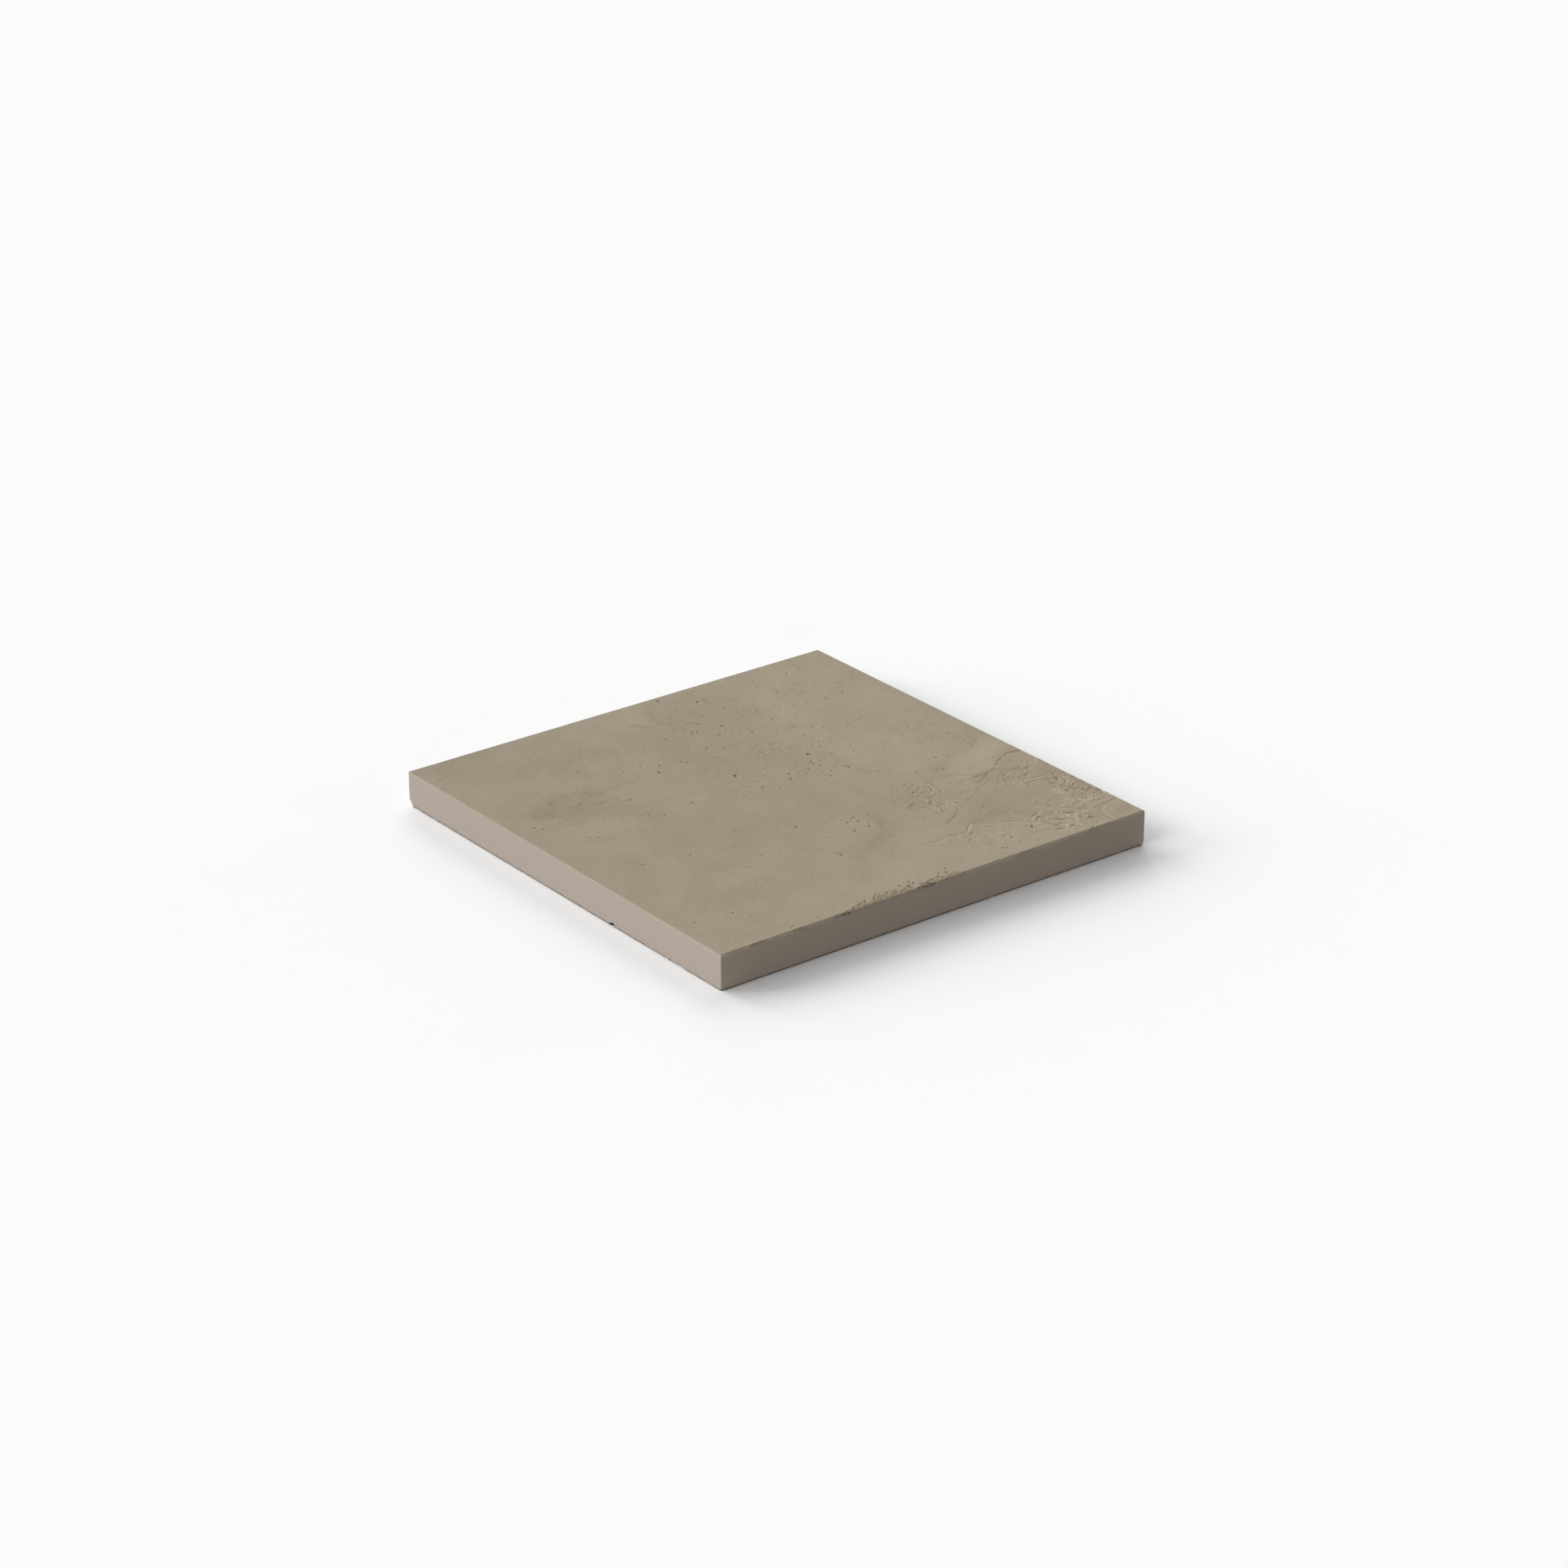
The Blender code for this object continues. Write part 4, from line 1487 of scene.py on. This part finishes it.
def pinhole_tree() -> ShapeTree:
    """Builds the tree that sinks a small crater at each pinhole, whose depth varies from hole to hole.

    Returns:
        The tree, which also stores how far into a hole each point lies, as pin.
    """
    inputs = {
        "Pinholes": "NodeSocketObject",
        "Depth": "NodeSocketFloat",
        "Lip": "NodeSocketFloat",
        "Seed": "NodeSocketInt",
    }
    tree = ShapeTree("Pinholes", inputs)
    holes = tree.put("GeometryNodeObjectInfo", {"Object": tree.given["Pinholes"]}).outputs["Geometry"]
    here = tree.put("GeometryNodeInputPosition").outputs[0]
    wires = {"Geometry": holes, "Sample Position": here}
    nearest = tree.put("GeometryNodeSampleNearest", wires, domain="POINT").outputs[0]
    centre = tree.sample(holes, here, nearest, "FLOAT_VECTOR")
    named = tree.put("GeometryNodeInputNamedAttribute", {"Name": "radius"}, data_type="FLOAT").outputs[0]
    radius = tree.sample(holes, named, nearest, "FLOAT")
    offset = tree.vector("MULTIPLY", tree.vector("SUBTRACT", here, centre).outputs[0], (1.0, 1.0, 0.0))
    gap = tree.vector("LENGTH", offset.outputs[0]).outputs["Value"]
    share = tree.maths("DIVIDE", gap, radius)
    bowl = tree.ramp(share, 0.25, 1.0, 1.0, 0.0)
    outer, inner = tree.ramp(share, 0.8, 1.15, 0.0, 1.0), tree.ramp(share, 1.15, 1.7, 1.0, 0.0)
    lip = tree.times(outer, inner)
    wires = {2: 0.7, 3: 1.3, "ID": nearest, "Seed": tree.given["Seed"]}
    chance = tree.put("FunctionNodeRandomValue", wires, data_type="FLOAT").outputs[1]
    sunk = tree.times(tree.times(bowl, tree.given["Depth"]), chance)
    rise = tree.maths("SUBTRACT", tree.times(lip, tree.given["Lip"]), sunk)
    up = tree.normal_ramp(0.6, 0.9)
    tree.finish(tree.times(rise, up), "pin", tree.times(bowl, up))
    return tree


def sawn_face_tree() -> ShapeTree:
    """Builds the tree that leaves a disc saw's shallow arcs in the faces that point down.

    Returns:
        The tree, which also stores how high each saw mark stands, as sawn.
    """
    inputs = {
        "Saw Centre": "NodeSocketVector",
        "Mark Pitch": "NodeSocketFloat",
        "Mark Depth": "NodeSocketFloat",
        "Waver": "NodeSocketFloat",
        "Seed": "NodeSocketFloat",
    }
    tree = ShapeTree("Sawn face", inputs)
    here = tree.put("GeometryNodeInputPosition").outputs[0]
    from_saw = tree.vector("SUBTRACT", here, tree.given["Saw Centre"]).outputs[0]
    radius = tree.vector("LENGTH", from_saw).outputs["Value"]
    drift = tree.put("ShaderNodeTexNoise", {"Vector": here, "Scale": 14.0, "Detail": 2.0}).outputs["Fac"]
    count = tree.maths("DIVIDE", radius, tree.given["Mark Pitch"])
    start = tree.maths("ADD", count, tree.given["Seed"])
    wires = {"W": tree.maths("MULTIPLY_ADD", drift, tree.given["Waver"], start), "Scale": 1.0, "Detail": 3.0}
    noise = tree.put("ShaderNodeTexNoise", wires, noise_dimensions="1D").outputs["Fac"]
    mark = tree.maths("SUBTRACT", noise, 0.5)
    height = tree.times(mark, tree.given["Mark Depth"])
    raised = tree.maths("ADD", height, tree.times(tree.given["Mark Depth"], 0.5))
    down = tree.normal_ramp(-0.8, -0.98)
    tree.finish(tree.times(raised, down), "sawn", tree.times(mark, down))
    return tree


# ----------------------------------------
# The slab's two pieces


@dataclass
class Piece:
    """A piece that stands for one CAD node.

    Attributes:
        name: the piece's name.
        node: the CAD node that it replaces.
        slot: the record's material slot; not used.
    """

    name: str
    node: str
    slot: str

    def settle(self, piece: bpy.types.Object) -> None:
        """Rides the piece on its body, in place of its CAD node, and reports it.

        Args:
            piece: the finished piece.
        """
        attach(piece, BODY)
        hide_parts(self.node)
        triangles = sum(len(polygon.vertices) - 2 for polygon in piece.data.polygons)
        LOG.info("%s: %d points, %d triangles", piece.name, len(piece.data.vertices), triangles)


@dataclass
class TrowelledCoat(Piece):
    """The skim coat: a thin plate whose top is trowelled, pitted and worn along the front.

    Attributes:
        finish: its material.
        corner_radius: rounding of its upright arrises.
        arris_radius: rounding of its top arris.
        mean_drop_mm: how far its mean level lies below the highest point allowed.
        pitch: size of the largest grid cells.
        tolerance: how far a cell may miss the shape before it halves.
        hole_depth: depth of a pinhole.
        hole_lip: height of the lip round a pinhole.
        seed: picks the small pinholes and the depths of all of them.
        small_holes: how many small pinholes there are beside the larger ones.
        hole_margin_mm: how far the scattered ones keep from the edge.
        side_inset_mm: how far the side stands in from the block's outline.
        joint_land: height above the joint over which the side's relief fades in.
        firm_mm: how deep a mark has to be before the side crumbles too.
        pit_depth: how deep a pit the grid is made fine enough for.
    """

    finish: SkimFinish = SkimFinish()
    corner_radius: float = 0.6 * MM
    arris_radius: float = 1.1 * MM
    mean_drop_mm: float = 0.17
    pitch: float = 1.75 * MM
    tolerance: float = 0.0185 * MM
    hole_depth: float = 0.6 * MM
    hole_lip: float = 0.03 * MM
    seed: int = 7
    small_holes: int = 170
    hole_margin_mm: float = 4.0
    side_inset_mm: float = 0.02
    joint_land: float = 0.5 * MM
    firm_mm: float = 0.35
    pit_depth: float = 0.4 * MM

    def holes(self, half_mm: float) -> list[Pinhole]:
        """Gathers the pinholes.

        Args:
            half_mm: half the face's side.

        Returns:
            The larger pinholes and the small scattered ones, half of which lie in a band towards the back.
        """
        random = np.random.default_rng(self.seed)
        count = self.small_holes
        reach = half_mm - self.hole_margin_mm
        places = random.uniform(-reach, reach, (count, 2))
        drawn_in = random.uniform(size=count) < 0.5
        across = random.normal(34.0, 24.0, count)
        band = np.column_stack((across, random.uniform(0.0, 140.0, count)))
        places = np.where(drawn_in[:, None], band, places)
        sizes = random.uniform(0.38, 0.68, count)
        return [*PINHOLES, *(Pinhole(tuple(place), float(size)) for place, size in zip(places, sizes))]

    def surface(self, u: Array, v: Array, edge_mm: float) -> Surface:
        """Works the trowelled face.

        Args:
            u: the sheet's columns.
            v: its rows.
            edge_mm: the row of the front arris.

        Returns:
            The face, with every mark in it.
        """
        surface = Surface(u / MM, v / MM)
        x, y = surface.x[:, None], surface.y[None, :]
        surface.height += 0.035 * Noise(38.0, 501).at(x, y)
        surface.height += 0.012 * Noise(9.0, 502, stretch=2.5, heading=34.0).at(x, y)
        surface.tone += 1.2 * Noise(60.0, 503).at(x, y)
        surface.tone += 0.9 * Noise(13.0, 504).at(x, y)
        surface.rough += 0.25 * Noise(24.0, 505).at(x, y)
        streaks = Noise(4.5, 506, stretch=3.0, heading=-22.0).at(x, y)
        blotches = Noise(5.5, 507).at(x, y)
        uneven = np.clip(0.75 + 0.9 * Noise(42.0, 508, octaves=2).at(x, y), 0.2, 1.6)
        surface.tone += uneven * (0.9 * streaks + 1.0 * blotches)
        for mark in (*CLOUDS, *WORKED_PATCHES, *CHATTER, *THICKETS):
            mark.press(surface)
        for stroke in (*EDGE_STROKES, *FRONT_STROKES, *CORNER_STROKES, *SPOT_STROKES):
            stroke.press(surface)
        for crumble in CRUMBLES:
            crumble.press(surface, edge_mm)
        return surface

    def pitted(self, surface: Surface, relief: Array, holes: Sequence[Pinhole]) -> Array:
        """Pits the relief roughly, so that the grid is fine enough at every pinhole.

        Args:
            surface: the coat's face.
            relief: its height on the same grid, in metres.
            holes: the pinholes.

        Returns:
            The pitted relief.
        """
        pits = relief.copy()
        for hole in holes:
            columns, rows, x, y = surface.round_about(hole.place, hole.radius * 1.5)
            gap = np.hypot(x - hole.place[0], y - hole.place[1])
            pits[columns, rows] -= self.pit_depth * smoothstep(hole.radius, 0.2 * hole.radius, gap)
        return pits

    def guide(self, holes: Sequence[Pinhole], height: float) -> bpy.types.Object:
        """Lays out the pinholes for the tree.

        Args:
            holes: the pinholes.
            height: the height to lay them at.

        Returns:
            A linked object with a point for each pinhole, which carries its radius.
        """
        dots = bpy.data.meshes.new("pinholes")
        dots.from_pydata([(hole.place[0] * MM, hole.place[1] * MM, height) for hole in holes], [], [])
        radii = dots.attributes.new("radius", "FLOAT", "POINT").data
        radii.foreach_set("value", [hole.radius * MM for hole in holes])
        return added("pinholes", dots)

    def build(self) -> bpy.types.Object:
        """Builds the coat.

        Returns:
            The finished piece.
        """
        low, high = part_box(self.node)
        core_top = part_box("slab_core")[1].z
        joint = (low.z + core_top) / 2 + JOINT_GAP / 2
        depth = high.z - self.arris_radius - joint
        skin = BlockSkin(
            half_x=high.x,
            half_y=high.y,
            face_z=high.z,
            back_z=joint,
            facing=Facing.UP,
            corner_radius=self.corner_radius,
            arris_radius=self.arris_radius,
            pitch=self.pitch,
            side_stops=(0.4 * depth, depth),
            tolerance=self.tolerance,
        )
        u, v = skin.lines(skin.half_x), skin.lines(skin.half_y)
        turn = self.arris_radius * (math.pi / 2 - 1.0)
        surface = self.surface(u, v, -(skin.half_y + turn) / MM)
        points, outward = skin.place(u, v)
        up = outward[..., 2] ** 2
        lowered = np.minimum(surface.height - self.mean_drop_mm, 0.0)
        side = np.minimum(0.25 * surface.height, 0.0) - self.side_inset_mm
        held = smoothstep(joint, joint + self.joint_land, points[..., 2])
        relief = (up * lowered + (1.0 - up) * side * held) * MM
        crumbling = np.minimum(surface.height + self.firm_mm, 0.0) * (1.0 - up) * held * MM
        finished = points + outward * (relief + crumbling)[..., None]
        holes = self.holes(high.x / MM)
        marks = {"tone": surface.tone, "rough": surface.rough, "side": 1.0 - up}
        mesh = skin.mesh(self.name, finished, self.pitted(surface, relief, holes), marks)
        guide = self.guide(holes, high.z)
        values = {
            "Pinholes": guide,
            "Depth": self.hole_depth,
            "Lip": self.hole_lip,
            "Seed": self.seed,
            "Material": self.finish.material(),
        }
        piece = pinhole_tree().applied(self.name, mesh, values)
        bpy.data.objects.remove(guide)
        self.settle(piece)
        return piece


@dataclass(frozen=True)
class Flake:
    """A shell-shaped flake lost from the core's lower arris.

    Attributes:
        side: the outward direction of the face that it shows on.
        along: its distance from that face's middle, in millimetres.
        length: its length along the arris.
        height: how far it reaches up the face.
        depth: how far it reaches in under the block.
        painted_shade: how much painted shade darkens it, from 0 to 1.
    """

    side: tuple[int, int]
    along: float
    length: float
    height: float
    depth: float
    painted_shade: float = 0.15


# The chips, the notch on the left side first, with the darkest painted shade.
FLAKES = (
    Flake((-1, 0), -51.6, 5.4, 2.1, 0.8, 1),
    Flake((-1, 0), -52.8, 3.2, 2.5, 0.8, 1),
    Flake((-1, 0), -57, 4.2, 0.8, 0.9, 0.4),
    Flake((-1, 0), -113, 18, 1.1, 1.6),
    Flake((-1, 0), -92, 38, 0.8, 0.7),
    Flake((-1, 0), -101.5, 7, 1.3, 1.2, 0.4),
    Flake((-1, 0), -141, 16, 0.8, 0.8),
    Flake((-1, 0), -71, 6, 0.6, 0.7),
    Flake((-1, 0), 126, 6, 1, 1.4),
    Flake((-1, 0), 143.5, 5, 0.9, 1.1),
    Flake((-1, 0), 62, 4, 0.6, 0.7),
    Flake((-1, 0), 18, 5, 0.5, 0.6),
    Flake((0, -1), 38, 7, 0.9, 1.2),
    Flake((0, -1), -61, 4, 0.5, 0.6),
    Flake((0, 1), 52, 9, 0.9, 1.3),
    Flake((0, 1), -97, 5, 0.6, 0.9),
    Flake((1, 0), -24, 6, 0.7, 1),
    Flake((1, 0), 88, 4.5, 0.6, 0.8),
)

# How far each lost lower corner reaches along the three edges that meet there, in millimetres.
LOST_CORNERS = {(-1, 1): 4.3, (1, -1): 2.4, (-1, -1): 1.5, (1, 1): 2.0}


@dataclass
class StoneCore(Piece):
    """The stone core: sawn underneath, rubbed on its sides, with a worn and chipped lower arris.

    Attributes:
        finish: its material.
        corner_radius: rounding of its upright arrises.
        arris_radius: rounding of its lower arris.
        pitch: size of the largest grid cells.
        flake_offset_mm: how far outside the arris each flake's shell is centred.
        relief_mm: how far the underside is relieved at its edge.
        relief_reach_mm: how far in from the edge the relief starts.
        tolerance: how far a grid cell may miss the shape before it halves.
        side_stops_mm: distances above the lower arris where the sides have a grid line.
        cross_heights_mm: heights on the two Y sides at which their tone is given.
        cross_painted_light: how much lighter the stone is painted at each: painted light towards the foot,
            painted shade towards the top.
        contact_shadow_shade: how dark the painted contact shadow along the lower arris is.
        painted_chip_shade: how dark a chip's full painted shade is, and the most that the painted shade at
            the foot may darken.
        saw_centre: where the saw's disc turned.
        mark_pitch: distance from saw mark to saw mark.
        mark_depth: how deep they are.
        waver: how far they stray, in marks.
        saw_seed: picks the marks.
    """

    finish: StoneFinish = StoneFinish()
    corner_radius: float = 0.6 * MM
    arris_radius: float = 0.45 * MM
    pitch: float = 2.0 * MM
    flake_offset_mm: float = 0.3
    relief_mm: float = 0.25
    relief_reach_mm: float = 7.0
    tolerance: float = 0.02 * MM
    side_stops_mm: tuple[float, ...] = (0.3, 0.7, 1.3, 2.4, 4.4, 7.5, 11.0, 15.0)
    cross_heights_mm: tuple[float, ...] = (0.0, 10.0, 20.0)
    cross_painted_light: tuple[float, ...] = (15.0, 0.5, -4.0)
    contact_shadow_shade: float = 44.0
    painted_chip_shade: float = 92.0
    saw_centre: tuple[float, float, float] = (0.31, -0.42, 0.0)
    mark_pitch: float = 3.2 * MM
    mark_depth: float = 0.09 * MM
    waver: float = 1.4
    saw_seed: float = 5.0

    def flaked(self, points: Array, half: Point, flake: Flake) -> Array:
        """Moves the points inside a flake's shell out to the shell.

        Args:
            points: the skin's points, in millimetres.
            half: half the block's length and width, in millimetres.
            flake: the flake to take off.

        Returns:
            The points with the scar in them.
        """
        offset = self.flake_offset_mm
        side_x, side_y = flake.side
        centre = np.array(
            (
                side_x * (half[0] + offset) + abs(side_y) * flake.along,
                side_y * (half[1] + offset) + abs(side_x) * flake.along,
                -offset,
            )
        )
        depth, height = flake.depth + offset, flake.height + offset
        sizes = np.array((depth, flake.length / 2, height) if side_x else (flake.length / 2, depth, height))
        box = np.abs(points - centre) < sizes
        inside = box.all(axis=-1)
        shell = (points[inside] - centre) / sizes
        distance = np.linalg.norm(shell, axis=-1)
        x, y, z = points[inside].T
        ripple = 1.0 + 0.05 * gradient_noise(x / 1.1 + y / 1.3, z / 0.9, 611)
        push = np.maximum(ripple / np.maximum(distance, 0.05), 1.0)
        moved = points.copy()
        moved[inside] = centre + shell * sizes * push[:, None]
        return moved

    def cut_corner(self, points: Array, half: Point, signs: tuple[int, int], leg: float) -> Array:
        """Lays the points beyond a lost corner back on the plane that is left.

        Args:
            points: the skin's points, in millimetres.
            half: half the block's length and width, in millimetres.
            signs: which corner it is.
            leg: how far the loss reaches along the edges, in millimetres.

        Returns:
            The points with the corner gone.
        """
        outward = np.array((signs[0], signs[1], -1.0)) / math.sqrt(3.0)
        on_plane = np.array((signs[0] * (half[0] - leg), signs[1] * half[1], 0.0))
        rugged = 0.12 * gradient_noise(points[..., 0] / 1.4, points[..., 1] / 1.4 + points[..., 2], 612)
        plain = (points - on_plane) @ outward
        beyond = plain + rugged * smoothstep(-1.0, 0.4, plain)
        eased = 0.25 * np.logaddexp(0.0, np.clip(beyond / 0.25, -30.0, 30.0))
        eased = np.maximum(eased, beyond) * smoothstep(-1.0, -0.3, beyond)
        return points - eased[..., None] * outward

    def worn(self, start: Array, outward: Array, half: Point) -> tuple[Array, dict[str, Array]]:
        """Wears and chips the block.

        Args:
            start: the new block's points, in millimetres.
            outward: the direction in which each faces.
            half: half the block's length and width, in millimetres.

        Returns:
            The worn points, and the attributes that the stone's finish reads.
        """
        x, y, z = (start[..., axis] for axis in range(3))
        worked = start.copy()
        around = np.arctan2(y, x)
        run = np.where(np.abs(np.cos(around)) > np.abs(np.sin(around)), y, x)
        face = np.round(around / (math.pi / 2)) * 37.0
        inward = np.minimum(half[0] - np.abs(x), half[1] - np.abs(y))
        on_side = smoothstep(2.6, 0.2, z) * (1.0 - outward[..., 2] ** 4)
        near_arris = np.maximum(on_side, smoothstep(2.2, 0.2, np.abs(inward)) * outward[..., 2] ** 2)
        nibble = gradient_noise(run / 4.2, face, 601) + 0.5 * gradient_noise(run / 1.5, face, 602)
        left = smoothstep(-half[0] + 3.0, -half[0], x)
        loss = np.clip(nibble, 0.0, 1.0) * (0.1 + 0.22 * left) * near_arris
        bow = 0.03 * gradient_noise(run / 45.0, face + z / 22.0, 603) - 0.03
        worked += outward * (np.minimum(bow, 0.0) * (1.0 - outward[..., 2] ** 2) - loss)[..., None]
        patchy = 1.0 + 0.35 * gradient_noise(run / 11.0, face, 604)
        patchy = patchy + 0.25 * gradient_noise(run / 3.1, face, 605)
        relief = self.relief_mm * smoothstep(self.relief_reach_mm, 0.6, inward)
        worked[..., 2] += relief * patchy * smoothstep(2.5, 0.0, z)
        # Painted shade in the chips, darkest in the notch.
        chip_shade = np.zeros_like(run)
        for flake in FLAKES:
            before = worked
            worked = self.flaked(before, half, flake)
            chip_shade += flake.painted_shade * smoothstep(0.03, 0.25, np.linalg.norm(worked - before, axis=-1))
        for signs, leg in LOST_CORNERS.items():
            worked = self.cut_corner(worked, half, signs, leg)
        scar = smoothstep(0.05, 0.3, np.linalg.norm(worked - start, axis=-1))
        crosswise = outward[..., 1] ** 2
        blots = 0.5 * gradient_noise(run / 6.0, face, 606) + 0.35 * gradient_noise(run / 1.8, face, 607)
        # A painted contact shadow: a dark line along the foot, where the block meets the floor.
        line = smoothstep(1.0, 0.45, z) * smoothstep(2.4, 0.6, inward) * np.clip(1.0 + blots, 0.3, 1.4)
        # pale is painted light and shade: lighter towards the foot of the two Y sides and darker near their
        # top, less the painted contact shadow and the painted shade in the chips.
        pale = crosswise * np.interp(z, self.cross_heights_mm, self.cross_painted_light)
        pale -= np.clip(self.contact_shadow_shade * line + self.painted_chip_shade * chip_shade, 0.0, self.painted_chip_shade)
        return worked, {"scar": scar, "crosswise": crosswise, "pale": pale}

    def build(self) -> bpy.types.Object:
        """Builds the core.

        Returns:
            The finished piece.
        """
        low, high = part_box(self.node)
        joint = (high.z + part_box("face_coat")[0].z) / 2 - JOINT_GAP / 2
        depth = joint - low.z - self.arris_radius
        skin = BlockSkin(
            half_x=high.x,
            half_y=high.y,
            face_z=low.z,
            back_z=joint,
            facing=Facing.DOWN,
            corner_radius=self.corner_radius,
            arris_radius=self.arris_radius,
            pitch=self.pitch,
            side_stops=(*(stop * MM for stop in self.side_stops_mm), depth),
            tolerance=self.tolerance,
        )
        points, outward = skin.place(skin.lines(skin.half_x), skin.lines(skin.half_y))
        worked, marks = self.worn(points / MM, outward, (high.x / MM, high.y / MM))
        shift = np.linalg.norm(worked - points / MM, axis=-1)
        mesh = skin.mesh(self.name, worked * MM, shift * MM, marks)
        values = {
            "Saw Centre": self.saw_centre,
            "Mark Pitch": self.mark_pitch,
            "Mark Depth": self.mark_depth,
            "Waver": self.waver,
            "Seed": self.saw_seed,
            "Material": self.finish.material(),
        }
        piece = sawn_face_tree().applied(self.name, mesh, values)
        self.settle(piece)
        return piece


# ----------------------------------------
# The studio


@dataclass(frozen=True)
class Softbox:
    """One broad soft light, far away.

    Attributes:
        heading: where it stands, in degrees from +X towards +Y.
        height: how high it stands above the horizon, in degrees.
        spread: how wide it looks from the slab, in degrees.
        strength: how much it lights a surface that faces it.
    """

    heading: float
    height: float
    spread: float
    strength: float

    def hang(self, name: str) -> None:
        """Adds the light to the scene.

        Args:
            name: the light's name.
        """
        light = bpy.data.lights.new(name, "SUN")
        light.angle = math.radians(self.spread)
        light.energy = math.pi * self.strength
        lamp = added(name, light)
        turn, lift = math.radians(self.heading), math.radians(self.height)
        towards = Vector((math.cos(turn) * math.cos(lift), math.sin(turn) * math.cos(lift), math.sin(lift)))
        lamp.rotation_euler = towards.to_track_quat("Z", "Y").to_euler()


@dataclass
class Studio:
    """A plain pale floor, broad soft lights that are strongest from behind, and the camera.

    Attributes:
        floor_side: side of the square floor.
        sky: brightness of the even light from all round.
        azimuth: where the camera stands, in degrees, 0 being in front of the slab and positive to its right.
        elevation: how high it looks down from, in degrees.
        distance: how far it stands from the slab, in slab lengths.
        aim_right: how far right of the slab's foot it aims, in slab lengths.
        aim_up: how far above, in the same way.
        lens_mm: its lens.
        frame_mm: the width of the frame behind the lens.
        lights: the lights.
    """

    floor_side: float = 30.0
    sky: float = 0.004
    azimuth: float = -37.682
    elevation: float = 24.303
    distance: float = 8.3608
    aim_right: float = 0.0209
    aim_up: float = 0.0777
    lens_mm: float = 100.54
    frame_mm: float = 36.0
    lights: tuple[Softbox, ...] = (
        Softbox(60, 18, 30, 0.35),
        Softbox(100, 18, 30, 0.35),
        Softbox(140, 18, 30, 0.6),
        Softbox(40, 38, 35, 0.25),
        Softbox(100, 38, 35, 0.32),
        Softbox(180, 38, 35, 0.45),
        Softbox(-60, 30, 35, 0.055),
        Softbox(-150, 30, 35, 0.035),
        Softbox(-120, 8, 15, 0.065),
        Softbox(-45, 15, 28, 0.1),
        Softbox(180, 8, 15, 0.035),
        Softbox(0, 8, 15, 0.11),
    )

    def lay_floor(self) -> None:
        """Lays the floor that the slab stands on."""
        half = self.floor_side / 2
        mesh = bpy.data.meshes.new("floor")
        corners = [(x * half, y * half, 0.0) for x, y in ((-1, -1), (1, -1), (1, 1), (-1, 1))]
        mesh.from_pydata(corners, [], [(0, 1, 2, 3)])
        mesh.materials.append(FloorFinish().material())
        added("floor", mesh)

    def light(self) -> None:
        """Hangs the lights and sets the even light from all round."""
        for number, softbox in enumerate(self.lights):
            softbox.hang(f"softbox_{number}")
        world = bpy.data.worlds.new("studio")
        world.use_nodes = True
        background = world.node_tree.nodes["Background"]
        background.inputs["Color"].default_value = (1.0, 1.0, 1.0, 1.0)
        background.inputs["Strength"].default_value = self.sky
        bpy.context.scene.world = world
        bpy.context.scene.view_settings.view_transform = "Standard"

    def stand_camera(self, length: float) -> None:
        """Stands the camera, with its place measured in the slab's length.

        Args:
            length: the slab's length.
        """
        turn, lift = math.radians(self.azimuth), math.radians(self.elevation)
        right = Vector((math.cos(turn), math.sin(turn), 0.0))
        back = Vector((math.sin(turn) * math.cos(lift), -math.cos(turn) * math.cos(lift), math.sin(lift)))
        up = back.cross(right)
        place = (right * self.aim_right + up * self.aim_up + back * self.distance) * length
        data = bpy.data.cameras.new("camera")
        data.lens = self.lens_mm
        data.sensor_width = self.frame_mm
        data.clip_start, data.clip_end = 0.05, 100.0
        camera = added("camera", data)
        camera.matrix_world = Matrix.Translation(place) @ Matrix((right, up, back)).transposed().to_4x4()
        bpy.context.scene.camera = camera

    def build(self, length: float) -> None:
        """Builds the whole studio.

        Args:
            length: the length of the slab in it.
        """
        self.lay_floor()
        self.light()
        self.stand_camera(length)


def main() -> None:
    """Builds the studio and the slab."""
    logging.basicConfig(level=logging.INFO, format="%(name)s: %(message)s")
    Studio().build(CAD_BOX[1].x - CAD_BOX[0].x)
    StoneCore("stone_core", "slab_core", "stone").build()
    TrowelledCoat("trowelled_coat", "face_coat", "skim_coat").build()


if __name__ == "__main__":
    main()
